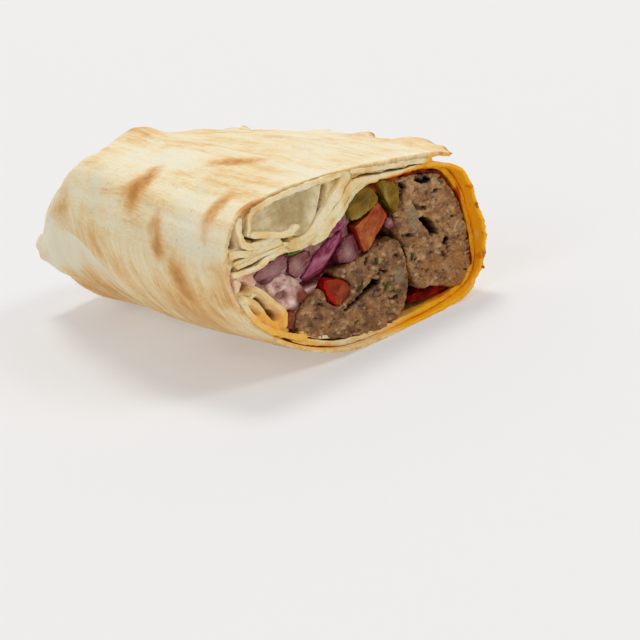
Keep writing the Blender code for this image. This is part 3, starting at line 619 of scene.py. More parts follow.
def ribbon(name, thickness, proud, back, points, seed, paint=CUT_BREAD, browned=0.5):
    """A strip of sheet: a closed profile carried along a curve. The profile runs up one side from the back,
    over a cut edge that is a flattened half round (its sine and cosine to the power 0.45) and down the other
    side. Noise bends it with depth, thins and thickens it and roughens its edge, and its ends are drawn in to
    a line."""
    line = curve(points, STRIP_STEP)
    sideways = side_of(line)
    along = np.arange(len(line)) * STRIP_STEP
    edge = np.linspace(0, math.pi, 11)
    sides = np.array([back, back * 0.6, back * 0.36, back * 0.22, back * 0.13, 2.2, 1.4, 0.8, 0.35])
    depth = np.concatenate([sides, -0.2 * thickness * np.sin(edge) ** 0.45, sides[::-1]])[:, None]
    across = np.sign(np.cos(edge)) * np.abs(np.cos(edge)) ** 0.45
    across = np.concatenate([np.ones(len(sides)), across, -np.ones(len(sides))])[:, None] / 2
    at = np.stack(np.broadcast_arrays(along, depth, 0 * across), axis=-1)
    ends = np.minimum(along, along[-1] - along) / (0.8 * thickness)
    ends = np.sqrt(np.clip(1 - (1 - np.clip(ends, 0, 1)) ** 2, 0, 1))
    width = thickness * ends * (1 + 0.28 * cloudy(at, (2.4, 5, 1), 3, seed))
    width = width + 0.3 * ends * cloudy(at, 0.7, 2, seed + 3)
    bend = 0.35 * cloudy(at, (7, 7, 1), 2, seed + 1) * smoothstep(-0.5, 6, depth)
    face = np.stack(np.broadcast_arrays(along, 3.0 * across, 0 * across), axis=-1)
    rough = 0.5 * cloudy(face, (3.4, 3, 1), 3, seed + 2) + 0.24 * cloudy(face, (0.8, 0.8, 1), 2, seed + 4)
    x = line[:, 0] + sideways[:, 0] * (across * width + bend)
    z = line[:, 1] + sideways[:, 1] * (across * width + bend)
    marks = stains(x, z, depth)
    marks["toast"] = browned * smoothstep(0.0, 1.2, depth) * (1 + 0.5 * cloudy(at, 3.0, 2, seed + 1))
    marks["streak"] = 0.9 * cloudy(face, (4, 3, 1), 3, seed + 2) - 0.25
    depth = depth - proud - rough * (depth < 3)
    made = surface(name, carried(x, z, depth, ORIGIN), marks, across=True)
    made.data.materials.append(paint)
    return made


for number, (name, thickness, proud, back, browned, outline) in enumerate(STRIPS):
    strip = ribbon("flatbread_" + name, thickness, proud, back, outline, 50 + 5 * number, browned=browned)
    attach(strip, "root")
    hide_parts("flatbread")


# The spare end's pale inner side shows between the rims of its fold: a shallow leaf that leans back to the
# right and is scored along its length by the griddle, painted darker than the cut bread as shade. Close
# behind the folds and the curl the bread is crumpled together, with the pockets that stayed open, painted
# browner deeper in as shade, and round the fillings, further in, it is painted near black as shade.
FOLD_LEAF = (
    (-5.2, 44.0), (-8.7, 44.7), (-13.0, 45.0), (-18.0, 45.1), (-23.0, 45.0), (-27.0, 44.5), (-28.8, 43.4),
    (-29.4, 41.6), (-30.0, 39.3), (-26.1, 38.0), (-23.1, 36.8), (-20.0, 35.4), (-17.0, 34.0), (-14.5, 32.9),
    (-13.3, 32.9), (-11.5, 34.1), (-9.2, 36.1), (-7.4, 38.5), (-5.8, 41.5),
)
FOLDED_BREAD = (
    (-1.0, 44.6), (-10.0, 45.6), (-22.0, 46.2), (-31.5, 43.8), (-37.2, 36.5), (-37.4, 31.0), (-37.3, 26.6),
    (-35.0, 25.0), (-29.0, 27.6), (-22.0, 30.8), (-14.0, 31.2), (-7.0, 33.0), (0.0, 36.6), (4.5, 40.6),
)
CURLED_BREAD = (
    (-36.8, 26.0), (-33.8, 27.4), (-30.6, 26.8), (-27.8, 24.2), (-25.4, 20.8), (-23.2, 17.8), (-22.8, 14.4),
    (-23.6, 11.4), (-27.0, 11.0), (-33.0, 16.2), (-36.0, 21.0),
)
# Pockets that stayed open in the folds: depth, how soft their rims are, then a run of discs x, z, radius, in
# mm.
POCKETS = (
    (6.0, 0.25, ((-33.6, 42.4, 0.3), (-34.2, 40.8, 0.8), (-34.5, 39.2, 1.2), (-34.4, 38.3, 1.1))),
    (5.0, 0.25, ((-29.8, 43.8, 0.3), (-30.6, 42.2, 0.5), (-30.9, 40.2, 0.6))),
    (2.6, 0.4, ((-29.8, 38.4, 0.5), (-27.0, 37.4, 0.6), (-23.8, 36.8, 0.2))),
    (4.5, 0.3, ((-20.4, 35.6, 0.4), (-19.4, 34.5, 0.6), (-18.6, 34.0, 0.3))),
    (5.0, 0.25, ((-4.6, 42.6, 0.5), (-6.4, 39.8, 0.9), (-8.6, 37.0, 1.0), (-11.0, 34.6, 0.9),
                 (-13.6, 32.8, 0.5))),
    (4.0, 0.2, ((-34.2, 32.2, 0.3), (-31.8, 32.0, 0.5), (-29.5, 31.9, 0.5), (-26.0, 32.3, 0.3))),
    (3.0, 0.2, ((-35.4, 32.6, 0.3), (-35.9, 31.7, 0.3))),
    (5.0, 0.2, ((-34.7, 28.5, 0.35), (-33.7, 28.2, 0.45), (-32.9, 27.4, 0.3))),
    (2.5, 0.4, ((-34.6, 27.3, 0.7), (-33.4, 26.6, 0.6))),
    (2.0, 0.3, ((-34.6, 34.1, 0.2), (-28.0, 34.4, 0.25), (-24.0, 34.1, 0.2))),
    (6.0, 0.15, ((-0.2, 43.2, 0.2), (1.2, 42.9, 0.5), (2.2, 43.6, 0.2))),
    (6.0, 0.15, ((1.2, 42.9, 0.5), (0.8, 41.8, 0.3))),
    (4.0, 0.25, ((2.3, 41.0, 0.3), (0.6, 39.4, 0.4), (-0.8, 37.8, 0.2))),
    (6.0, 0.5, ((-27.0, 41.6, 1.6), (-22.0, 41.0, 3.6), (-14.0, 40.4, 5.0), (-10.0, 41.2, 3.4))),
)
CURL_POCKETS = (
    (2.5, 0.4, ((-34.6, 27.3, 0.7), (-33.4, 26.6, 0.6))),
    (2.5, 0.3, ((-37.0, 26.5, 0.3), (-36.1, 26.0, 0.4))),
    (1.6, 0.7, ((-33.2, 21.8, 0.2), (-32.4, 20.9, 0.5), (-31.4, 19.6, 0.4))),
    (4.5, 0.5, ((-31.4, 24.0, 0.1), (-29.8, 22.4, 0.2), (-29.0, 20.7, 0.3), (-28.5, 19.2, 0.4),
                (-27.5, 18.2, 0.7), (-26.9, 17.2, 0.8))),
)
# The sheet's end lies over the curl as a soft ridge: a run of discs.
CURL_RIDGE = ((-33.4, 25.6, 0.6), (-31.9, 26.3, 0.7), (-30.1, 25.2, 0.9), (-28.5, 23.4, 1.1),
              (-26.8, 21.2, 1.1), (-25.3, 19.1, 1.1), (-24.5, 17.1, 1.0), (-25.2, 14.6, 0.8))
# Two torn bits of the sheet's end hang over the curl's left side.
TORN_CHUNK = ((-36.0, 30.3), (-34.9, 29.6), (-34.7, 28.6), (-35.4, 27.4), (-36.4, 26.8), (-37.2, 27.0),
              (-37.2, 28.2), (-37.0, 29.5))
TORN_FLAP = ((-36.6, 24.6), (-35.0, 25.7), (-33.6, 25.3), (-32.0, 26.1), (-30.5, 25.7), (-30.2, 24.9),
             (-31.6, 24.3), (-32.9, 24.0), (-33.5, 23.2), (-34.9, 22.8), (-36.2, 23.2))
SCORE_SPACING = 0.85
ROLLED_WIDTH = 1.2
CRUMPLE_DEPTH = 0.6
CAVITY_DEPTH = 15.0


def along_discs(x, z, discs):
    """How deep points lie in a run of discs: the greatest, over its spans, of radius less distance, in mm."""
    deepest = np.full(np.shape(x), -99.0)
    for (ax, az, ar), (bx, bz, br) in zip(discs, discs[1:]):
        span = (bx - ax) ** 2 + (bz - az) ** 2
        t = np.clip(((x - ax) * (bx - ax) + (z - az) * (bz - az)) / span, 0, 1)
        away = np.hypot(x - ax - t * (bx - ax), z - az - t * (bz - az))
        deepest = np.maximum(deepest, ar + (br - ar) * t - away)
    return deepest


def on_cut(x, z):
    """Points (x, z) of the cut face as places for noise."""
    return np.stack([x, z, 0 * x], axis=-1)


def fanned(outline, step, middle, rings=0):
    """A grid inside an outline: rays run from its rim to its middle, and rings lie at even shares of the way,
    about a step apart unless their number is given. Returns the rim, the shares, and the grid's x and z."""
    ring = curve(outline, step, closed=True)
    rings = rings or max(8, round(np.linalg.norm(ring - middle, axis=1).mean() / step))
    share = np.linspace(1, 0, rings)[:, None]
    x, z = (middle[axis] + (ring[:, axis] - middle[axis]) * share for axis in (0, 1))
    return ring, share, x, z


def facing_disc(name, outline, step, middle, depth_of, paint=CUT_BREAD, soaked=0.0, rolled=0.0, pale=0.0):
    """A surface facing the cut: the grid fanned out inside an outline, each point set back by depth_of(x, z).
    Over the last ROLLED_WIDTH its rim rolls back by `rolled` mm."""
    ring, share, x, z = fanned(outline, step, middle)
    near_rim = 1 - np.clip((1 - share) * np.linalg.norm(ring - middle, axis=1) / ROLLED_WIDTH, 0, 1)
    depth = depth_of(x, z) + rolled * (1 - np.sqrt(1 - near_rim ** 2))
    marks = stains(x, z, depth)
    marks["streak"] = 0.5 * cloudy(on_cut(x, z), 2.0, 3, 76) - 0.15 - pale
    if paint is INNER_BREAD:
        # Its hollow middle is painted darker as shade, and its rolled rim is pale.
        shaded = np.exp(-((x + 16.5) / 4.5) ** 2 - ((z - 40.3) / 3.2) ** 2)
        marks["streak"] = marks["streak"] + 0.85 * shaded - 0.6 - 0.6 * near_rim ** 0.7
    # soaked paints the whole surface near black: painted shade for the dark behind the fillings.
    marks["soaked"] = soaked + 0 * x
    # In the pockets the cut bread darkens with depth through the toast stain: painted shade.
    marks["toast"] = 0.95 * smoothstep(0.6, 2.8, depth) * (paint is CUT_BREAD)
    marks["oil"] = marks["oil"] + (0.2 if pale else -0.2) * smoothstep(0.8, 3.0, depth) * (paint is CUT_BREAD)
    made = surface(name, carried(x, z, depth, ORIGIN), marks, around=True)
    made.data.materials.append(paint)
    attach(made, "root")
    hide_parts("flatbread")


def leaf_depth(x, z):
    """Rounded back at the left and hollow under the top, scored in lines about SCORE_SPACING apart, with soft
    swells."""
    at = on_cut(x, z)
    scores = np.sin(2 * math.pi * (z - 0.1 * x + 0.5 * cloudy(at, (6, 3, 1), 2, 71)) / SCORE_SPACING)
    lean = 0.035 * np.minimum(x + 24, 0) ** 2 + 1.1 * np.exp(-((x + 17) / 8) ** 2 - ((z - 42.5) / 2.8) ** 2)
    return -0.1 + lean + 0.05 * scores + 0.35 * cloudy(at, (5, 3, 1), 3, 72) + 0.08 * cloudy(at, 0.7, 2, 77)


def crumple_depth(x, z):
    """Bread crumpled together: shallow swells of 3 mm, and the open POCKETS."""
    at = on_cut(x, z)
    depth = CRUMPLE_DEPTH + 0.7 * cloudy(at, 2.6, 3, 73) + 0.3 * cloudy(at, 0.8, 2, 75)
    for deep, soft, discs in POCKETS:
        depth = depth + deep * smoothstep(-soft, soft, along_discs(x, z, discs))
    return depth


def curl_depth(x, z):
    """The curled end: a soft mass with its two hollows, and the sheet's end over it as a ridge."""
    at = on_cut(x, z)
    depth = 0.5 + 0.4 * cloudy(at, 3.0, 2, 78) + 0.16 * cloudy(at, 0.8, 3, 79)
    depth = depth - 1.3 * smoothstep(-0.6, 0.5, along_discs(x, z, CURL_RIDGE))
    for deep, soft, discs in CURL_POCKETS:
        depth = depth + deep * smoothstep(-soft, soft, along_discs(x, z, discs))
    return depth


def torn_depth(x, z):
    """A torn bit of sheet, standing 0.9 mm forward and crumbly."""
    at = on_cut(x, z)
    return -0.9 + 0.6 * cloudy(at, 1.6, 2, 85) + 0.4 * cloudy(at, 0.6, 2, 86)


def cavity_depth(x, z):
    """The bread behind the fillings, painted near black as shade, hollowed by about 2 mm here and there."""
    return CAVITY_DEPTH + 2.0 * cloudy(on_cut(x, z), 4.0, 3, 74)


facing_disc("flatbread_fold_leaf", FOLD_LEAF, 0.3, (-18.0, 40.4), leaf_depth, INNER_BREAD, rolled=2.4)
facing_disc("flatbread_folded", FOLDED_BREAD, 0.25, (-22.0, 38.0), crumple_depth)
facing_disc("flatbread_curled", CURLED_BREAD, 0.2, (-30.0, 19.5), curl_depth, rolled=3.0)
facing_disc("flatbread_torn_chunk", TORN_CHUNK, 0.15, (-36.2, 28.5), torn_depth, rolled=2.0, pale=0.5)
facing_disc("flatbread_torn_flap", TORN_FLAP, 0.15, (-33.8, 24.6), torn_depth, rolled=2.0, pale=0.3)
# The bread behind the fillings is painted near black as the shade in the gaps between them.
facing_disc("flatbread_shade_backing", ((33.0, 32.5), (20.0, 37.5), (-10.0, 41.0), (-30.0, 36.0), (-34.0, 24.0),
                                        (-22.0, 9.6), (0.0, 3.5), (24.0, 3.5), (34.0, 12.0)),
            0.8, (0.0, 22.0), cavity_depth, soaked=1.0)


# === The two lengths of kofta ==============================================================================
# Grilled minced lamb and beef pressed round a skewer: coarse granules bound by their own juices, grey-brown
# inside and browner at the rim, with pores, cracks, pieces of cooked onion and chopped parsley in it.
KOFTA_LENGTH = 86.0
KOFTAS = (
    ("kofta_right", 0.7, (
        (30.2, 33.1), (25.5, 35.0), (20.5, 36.5), (16.2, 36.3), (17.6, 33.6), (16.9, 30.9), (14.1, 28.9),
        (14.0, 25.0), (14.8, 21.0), (15.4, 17.5), (15.3, 13.0), (16.8, 8.6), (20.6, 7.7), (26.6, 5.2),
        (30.0, 4.7), (33.3, 7.6), (34.7, 13.0), (34.8, 19.0), (33.4, 26.5))),
    ("kofta_left", 0.4, (
        (13.2, 21.9), (8.5, 23.2), (2.5, 22.3), (-3.0, 21.4), (-7.6, 21.0), (-4.2, 18.4), (-3.4, 15.6),
        (-5.0, 13.6), (-8.6, 12.7), (-11.2, 14.6), (-12.6, 18.3), (-15.8, 18.0), (-20.4, 15.3),
        (-21.3, 12.2), (-16.6, 8.2), (-8.5, 4.9), (1.5, 3.0), (7.5, 3.6), (12.0, 7.0), (14.3, 13.4),
        (14.4, 18.0))),
)
# Cracks and holes in the cut meat, as runs of discs: x, z, radius, then how deep they go, all in mm.
MEAT_HOLES = (
    (7.0, ((21.9, 24.9, 0.5), (23.0, 23.6, 0.9), (24.3, 21.6, 1.0), (25.8, 19.9, 0.4))),
    (7.0, ((24.3, 21.6, 0.8), (23.9, 19.6, 0.4))),
    (5.0, ((22.6, 35.2, 0.6), (24.5, 34.5, 0.9), (26.3, 33.5, 0.5))),
    (3.5, ((17.6, 35.0, 0.7), (18.1, 34.6, 0.6))),
    (3.5, ((28.1, 17.3, 0.5), (27.7, 16.6, 0.4))),
    (1.6, ((26.1, 14.1, 0.4), (26.8, 13.4, 0.3))),
    (1.2, ((20.1, 29.7, 0.15), (21.1, 28.3, 0.3), (22.3, 27.5, 0.3), (23.7, 27.4, 0.15))),
    (1.0, ((14.6, 23.0, 0.2), (16.3, 22.6, 0.25), (18.8, 21.7, 0.2))),
    (4.0, ((-6.9, 11.2, 0.1), (-3.0, 12.3, 0.25), (0.4, 13.7, 0.4), (3.2, 14.6, 0.75), (5.3, 14.2, 0.3))),
    (2.0, ((6.3, 17.0, 0.15), (7.8, 15.9, 0.3))),
    (1.5, ((7.2, 8.9, 0.15), (9.4, 8.8, 0.3))),
    (1.5, ((3.2, 21.3, 0.35), (2.4, 20.3, 0.2))),
    (1.2, ((11.9, 18.8, 0.3), (12.1, 18.7, 0.25))),
)
# Pieces of cooked onion in the meat, and warm patches of fat and spice: x, z, half width, half height.
ONION_IN_MEAT = ((19.2, 26.0, 1.9, 3.8), (11.4, 13.6, 2.2, 2.5), (32.3, 18.6, 1.0, 0.8), (24.5, 33.2, 1.4, 0.6))
WARM_IN_MEAT = ((24.5, 25.6, 1.8, 1.4), (33.0, 22.3, 1.2, 1.3), (18.0, 20.2, 2.4, 1.0), (22.0, 12.0, 6.0, 3.0),
                (29.0, 7.0, 5.0, 2.5), (-4.0, 8.5, 2.5, 1.2), (1.5, 9.0, 1.6, 1.0), (-14.0, 9.0, 3.0, 1.0),
                (9.5, 21.6, 1.8, 0.8), (30.5, 11.5, 4.0, 5.0))
MEAT_STEP = 0.21


def lumpy(points, size, seed=0):
    """Cell noise: how far each point is from the nearest of one random point per cell of the given size in mm,
    in cells, and that nearest point's own random number from 0 to 1."""
    at = np.asarray(points, float) / np.asarray(size, float)
    cell = np.floor(at).astype(np.int64)
    nearest, own = np.full(at.shape[:-1], 9.0), np.zeros(at.shape[:-1])
    for shift in np.ndindex(3, 3, 3):
        near = cell + shift - 1
        spot = near + np.stack([scattered(near, seed + axis) for axis in range(3)], axis=-1)
        away = np.linalg.norm(spot - at, axis=-1)
        own = np.where(away < nearest, scattered(near, seed + 5), own)
        nearest = np.minimum(nearest, away)
    return nearest, own


def in_patches(x, z, patches, sharpness=2):
    """1 in the middle of any of the oval patches, falling to 0 past their rims as exp(-(r^2)^sharpness)."""
    share = np.zeros(np.shape(x))
    for px, pz, half_width, half_height in patches:
        square = ((x - px) / half_width) ** 2 + ((z - pz) / half_height) ** 2
        share = np.maximum(share, np.exp(-square ** sharpness))
    return share


def cut_piece(name, outline, swollen, proud, back, rim, step, relief):
    """A filling as the knife left it. A net of points `step` apart fills the outline, moved out by `swollen`,
    and is joined by Delaunay triangles; the face turns back round a rim of radius `rim`, and rings carry the
    sides back to a closed end. relief(x, z, depth, inward) gives how far each point stands out, and its
    attributes."""
    ring = curve(outline, step, closed=True)
    ring = ring + side_of(ring, closed=True) * swollen
    low, high = ring.min(axis=0), ring.max(axis=0)
    across, up = np.meshgrid(np.arange(low[0], high[0], step), np.arange(low[1], high[1], step * 0.866))
    across[1::2] += step / 2
    net = np.stack([across.ravel(), up.ravel()], axis=1)
    net = net[np.linalg.norm(net[:, None] - ring[None], axis=2).min(axis=1) > 0.6 * step]
    count = len(ring)
    rim_edges = [(i, (i + 1) % count) for i in range(count)]
    flat, _, triangles, *_ = delaunay_2d_cdt(np.vstack([ring, net]).tolist(), rim_edges, [], 1, 1e-5)
    flat = np.array([tuple(point) for point in flat])

    # How far a point is inside the outline says how far the face has turned back round the rim there.
    away = np.linalg.norm(flat[:, None] - ring[None], axis=2)
    inward, nearest = away.min(axis=1), away.argmin(axis=1)
    turned = 1 - np.clip(inward / rim, 0, 1)
    face_depth = -proud + rim * (1 - np.sqrt(1 - turned ** 2))
    side_depths = np.concatenate([np.linspace(step, 5, 14), np.linspace(7, back - rim, 12), [back]])
    sides = np.repeat(ring[None], len(side_depths), axis=0)
    sides[-1] = ring.mean(axis=0) + (ring - ring.mean(axis=0)) * 0.8
    x = np.concatenate([flat[:, 0], sides[..., 0].ravel(), [ring[:, 0].mean()]])
    z = np.concatenate([flat[:, 1], sides[..., 1].ravel(), [ring[:, 1].mean()]])
    depth = np.concatenate([face_depth, np.repeat(side_depths - proud + rim, count), [back]])
    index = np.concatenate([nearest, np.tile(np.arange(count), len(side_depths)), [0]])
    outward = np.concatenate([turned, np.ones(sides.size // 2), [0.0]])
    inward = np.concatenate([inward, np.zeros(sides.size // 2 + 1)])
    stands, marks = relief(x, z, depth, inward)
    stands = stands * np.where(depth > 3, 0.3, 1.0)
    side = side_of(ring, closed=True)[index]
    x = x + side[:, 0] * outward * stands
    z = z + side[:, 1] * outward * stands
    depth = depth - np.sqrt(1 - outward ** 2) * stands

    # The rings' four-sided faces, and a fan that closes the end.
    rings = np.vstack([np.arange(count), len(flat) + np.arange(sides.size // 2).reshape(-1, count)])
    rings = np.hstack([rings, rings[:, :1]])
    quads = np.stack([rings[:-1, :-1], rings[:-1, 1:], rings[1:, 1:], rings[1:, :-1]], axis=-1).reshape(-1, 4)
    fan = np.stack([rings[-1, :-1], rings[-1, 1:], np.full(count, len(x) - 1)], axis=-1)
    mesh = bpy.data.meshes.new(name)
    mesh.from_pydata(carried(x, z, depth, ORIGIN) * MM, [], list(triangles) + quads.tolist() + fan.tolist())
    return in_scene(name, mesh, marks, merged=False)


def minced(x, z, depth, inward):
    """Cut minced meat: domed granules of 2.4, 1.0 and 0.55 mm with grooves between them, pores where slow
    noise is high, and the cracks and holes of MEAT_HOLES."""
    at = np.stack([x * 0.85 + z * 0.15, z, depth], axis=-1)
    bent = at + 0.35 * np.stack([cloudy(at, 1.3, 2, 108), cloudy(at, 1.3, 2, 109), 0 * x], axis=-1)
    clump = lumpy(bent, 2.4, seed=100)[0]
    coarse, own = lumpy(bent, 1.0, seed=101)
    fine, own_fine = lumpy(at, 0.55, seed=102)
    pores = smoothstep(0.30, 0.62, cloudy(at, (1.7, 1.1, 1.7), 3, 103))
    pits = smoothstep(0.35, 0.75, cloudy(at, (0.8, 0.65, 0.8), 1, 107))
    cracks = smoothstep(0.10, 0.0, np.abs(cloudy(bent, 2.2, 3, 110)))
    cracks = cracks * smoothstep(0.0, 0.3, cloudy(at, 3.0, 2, 111))
    stands = (0.45 * (0.6 - clump) + 0.34 * (0.55 - coarse) + 0.16 * (0.55 - fine) - 0.8 * pores - 0.3 * pits
              - 0.3 * cracks + 0.4 * cloudy(at, 5.0, 2, 104) + 0.16 * cloudy(at, 0.5, 1, 112))
    holes = np.zeros_like(x)
    for deep, discs in MEAT_HOLES:
        within = along_discs(x + 0.5 * cloudy(at, 0.9, 2, 105), z + 0.35 * cloudy(at, 0.7, 2, 114), discs)
        stands = stands - deep * smoothstep(-0.3, 0.05, within)
        holes = np.maximum(holes, min(1, deep / 4) * smoothstep(-0.45, -0.05, within))
    onion = in_patches(x, z, ONION_IN_MEAT)
    stands = stands * (1 - 0.75 * onion)
    warm = in_patches(x, z, WARM_IN_MEAT) + smoothstep(1.6, 0.0, inward) * 0.4 + smoothstep(16, 6, z) * 0.3
    shaded = 0.08 * smoothstep(15.5, 13.5, x)
    # The attribute groove is painted shade: darker between granules, in pores and pits, and most in cracks and
    # holes.
    marks = {"granule": 0.5 + 0.4 * cloudy(bent, 1.8, 4, 113)
                        + 0.14 * (own - 0.5) + 0.1 * (own_fine - 0.5) - shaded,
             "onion": onion, "warm": warm + 0.4 * cloudy(at, 2.0, 2, 106),
             "fat": smoothstep(0.83, 0.9, own) * smoothstep(0.55, 0.3, coarse) * (1 - onion),
             "groove": 0.35 * smoothstep(0.5, 0.9, coarse) + 0.25 * smoothstep(0.5, 0.9, fine) + 0.75 * pores
             + 0.55 * pits + 0.6 * cracks + 1.4 * holes}
    return stands, marks


def kofta_meat():
    """Grilled minced meat: each granule has its own tint, browner where warm, with specks of fat, painted dark
    as shade in its pores, cracks, holes and the grooves between granules, and moist all over, so that
    granules catch small highlights."""
    made, tree, place = new_material("grilled minced lamb and beef")
    fine = add(tree, "ShaderNodeTexNoise", {"Vector": place, "Scale": scale_for(0.5263), "Detail": 3,
                                            "Roughness": 0.65})
    blotch = add(tree, "ShaderNodeTexNoise", {"Vector": place, "Scale": scale_for(2.381), "Detail": 3,
                                              "Roughness": 0.6})
    tint = add(tree, "ShaderNodeAttribute", attribute_name="granule")
    mixed = add(tree, "ShaderNodeMath", {0: blotch.outputs["Fac"], 1: 0.6, 2: tint.outputs["Fac"]},
                operation="MULTIPLY_ADD")
    colour = add(tree, "ShaderNodeValToRGB", {"Fac": add(
        tree, "ShaderNodeMath", {0: mixed.outputs[0], 1: -0.3}, operation="ADD").outputs[0]},
        stops=((0.20, "#664022"), (0.42, "#906238"), (0.58, "#AA7C4C"), (0.78, "#CCA072"))).outputs[0]
    # groove turns the meat near black: painted shade.
    for key, stain, low, high, most in (("warm", "#A0682E", 0.2, 1.2, 0.75),
                                        ("onion", "#8C7C5C", 0.3, 0.9, 0.7),
                                        ("fat", "#C8AC84", 0.0, 1.0, 0.6),
                                        ("groove", "#24120A", 0.3, 1.35, 1.0)):
        colour = stained(tree, colour, key, stain, low, high, most)
    shade = add(tree, "ShaderNodeMapRange", {"Value": fine.outputs["Fac"], "From Min": 0.3, "From Max": 0.7,
                                             "To Min": 0.74, "To Max": 1.2})
    colour = add(tree, "ShaderNodeVectorMath", {0: colour, "Scale": shade.outputs[0]},
                 operation="SCALE").outputs[0]
    finish(tree, colour, fine.outputs["Fac"], 0.16, {
        "Roughness": 0.36, "IOR": 1.4, "Subsurface Weight": 0.06, "Subsurface Radius": (1.0, 0.45, 0.25),
        "Subsurface Scale": 0.6 * MM})
    return made


MEAT = kofta_meat()
for name, proud, outline in KOFTAS:
    kofta = cut_piece(name + "_meat", outline, 0.3, proud, KOFTA_LENGTH, 0.6, MEAT_STEP, minced)
    kofta.data.materials.append(MEAT)
    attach(kofta, "root")
    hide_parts(name)


# === Tomato, pickle and onion ==============================================================================
# Raw tomato in a wedge, a chunk and a strip, pickled cucumber, and red onion softened by its pickle. All are
# wet, smooth and let light in; the onion's layers run along each strip as fine lines.
# Node, slot, material name, how far it stands in front of the cut, length, rim radius, outline.
SOFT_FILLINGS = (
    ("tomato_wedge", "tomato", "tomato_flesh", 0.9, 84, 0.3, (
        (9.2, 33.6), (5.5, 31.7), (1.0, 30.2), (1.7, 26.4), (2.4, 23.4), (5.6, 24.8), (9.6, 27.8), (11.2, 29.8),
        (10.4, 32.4))),
    ("tomato_chunk", "tomato", "tomato_ripe", 0.7, 84, 0.3, (
        (-5.2, 18.0), (-7.8, 19.9), (-10.8, 20.6), (-11.8, 19.0), (-10.7, 15.4), (-8.6, 13.4), (-5.6, 14.5),
        (-4.1, 16.2))),
    ("tomato_strip", "tomato", "tomato_soaked", 0.0, 46, 0.5, (
        (-21.3, 15.9), (-22.8, 17.0), (-24.4, 15.4), (-25.2, 13.9), (-22.6, 12.2), (-21.9, 13.8))),
    ("pickle_slice", "pickle", "pickled_cucumber", 0.9, 84, 0.3, (
        (9.4, 35.0), (8.2, 37.6), (6.2, 38.4), (3.2, 37.4), (0.2, 34.9), (0.6, 32.0), (3.4, 31.6), (6.4, 32.6),
        (9.2, 33.9))),
    ("pickle_end", "pickle", "pickled_cucumber", 0.7, 84, 0.3, (
        (15.2, 36.9), (12.6, 38.0), (10.8, 38.0), (11.6, 34.6), (12.9, 31.2), (14.1, 29.7), (16.3, 31.4),
        (17.1, 33.4))),
    ("red_onion_long", "red_onion", "red_onion", 0.0, 84, 0.8, (
        (-2.4, 30.2), (-6.5, 29.4), (-11.6, 27.2), (-16.6, 23.4), (-15.2, 22.2), (-10.0, 23.7), (-5.9, 26.4),
        (-3.4, 28.6))),
    ("red_onion_top", "red_onion", "red_onion", -0.4, 84, 0.5, (
        (-0.3, 34.3), (-4.0, 32.2), (-8.2, 30.3), (-5.0, 30.6), (-1.7, 31.2))),
    ("red_onion_middle", "red_onion", "red_onion_inner", -0.3, 84, 0.3, (
        (-12.9, 28.9), (-16.4, 29.5), (-19.2, 29.2), (-19.9, 26.0), (-18.0, 24.1), (-15.2, 25.2),
        (-13.2, 27.0))),
    ("red_onion_left", "red_onion", "red_onion_inner", -0.3, 84, 0.3, (
        (-20.0, 29.8), (-21.6, 31.2), (-23.6, 30.4), (-26.0, 30.2), (-28.4, 29.8), (-30.2, 28.3), (-28.2, 26.6),
        (-25.6, 26.2), (-23.2, 27.4), (-20.8, 27.7))),
    ("red_onion_chunk", "red_onion", "red_onion_inner", 0.2, 84, 0.4, (
        (0.5, 28.4), (-2.6, 27.9), (-5.0, 25.8), (-5.2, 23.2), (-1.5, 22.1), (0.9, 23.6))),
    ("onion_bit", "red_onion", "red_onion_inner", 0.3, 18, 0.5, (
        (13.0, 28.2), (11.6, 28.6), (10.6, 27.2), (11.5, 26.3), (13.2, 26.1))),
    ("green_leaf", "green_leaf", "salad_leaf", -0.1, 14, 0.2, (
        (-15.6, 30.1), (-17.6, 30.7), (-19.4, 30.6), (-17.6, 29.9))),
)
SOFT_STEP = 0.26
# Red skin left on the tomato, and the dark rims of the onion: x, z, radius along a line.
TOMATO_SKIN = (((9.6, 34.2, 0.5), (10.9, 32.0, 0.7), (11.5, 29.6, 0.5)),
               ((-11.4, 20.4, 0.9), (-11.0, 17.6, 1.0), (-9.9, 14.4, 0.7)))
ONION_RIM = (((-16.4, 22.4, 0.5), (-10.0, 23.6, 0.8), (-5.8, 26.0, 0.8), (-2.8, 29.4, 0.6)),
             ((1.1, 23.2, 0.6), (0.9, 26.0, 0.7), (0.4, 28.6, 0.5)))


# Where these pieces are palest and deepest in colour: x, z, half width, half height. The deep spot along the
# long onion's lower edge is painted shade.
PALE_SPOTS = ((2.6, 32.0, 3.4, 1.5), (-17.6, 26.6, 1.6, 1.8), (-25.4, 28.4, 4.0, 1.8), (-2.4, 25.0, 1.5, 2.0),
              (-9.0, 26.0, 4.5, 0.7), (12.4, 33.6, 0.8, 3.4), (4.4, 26.0, 1.2, 2.4), (12.0, 27.4, 0.8, 0.8),
              (-6.4, 16.6, 1.3, 1.2))
DEEP_SPOTS = ((1.0, 29.2, 1.0, 1.5), (7.6, 31.6, 2.6, 1.1), (-9.0, 23.2, 5.0, 0.8), (3.0, 36.6, 4.0, 0.9),
              (11.6, 34.6, 0.5, 3.0), (-28.6, 27.0, 1.6, 0.6), (-13.0, 28.6, 0.9, 1.6), (0.2, 25.0, 0.7, 3.0),
              (9.8, 31.0, 0.8, 2.4))


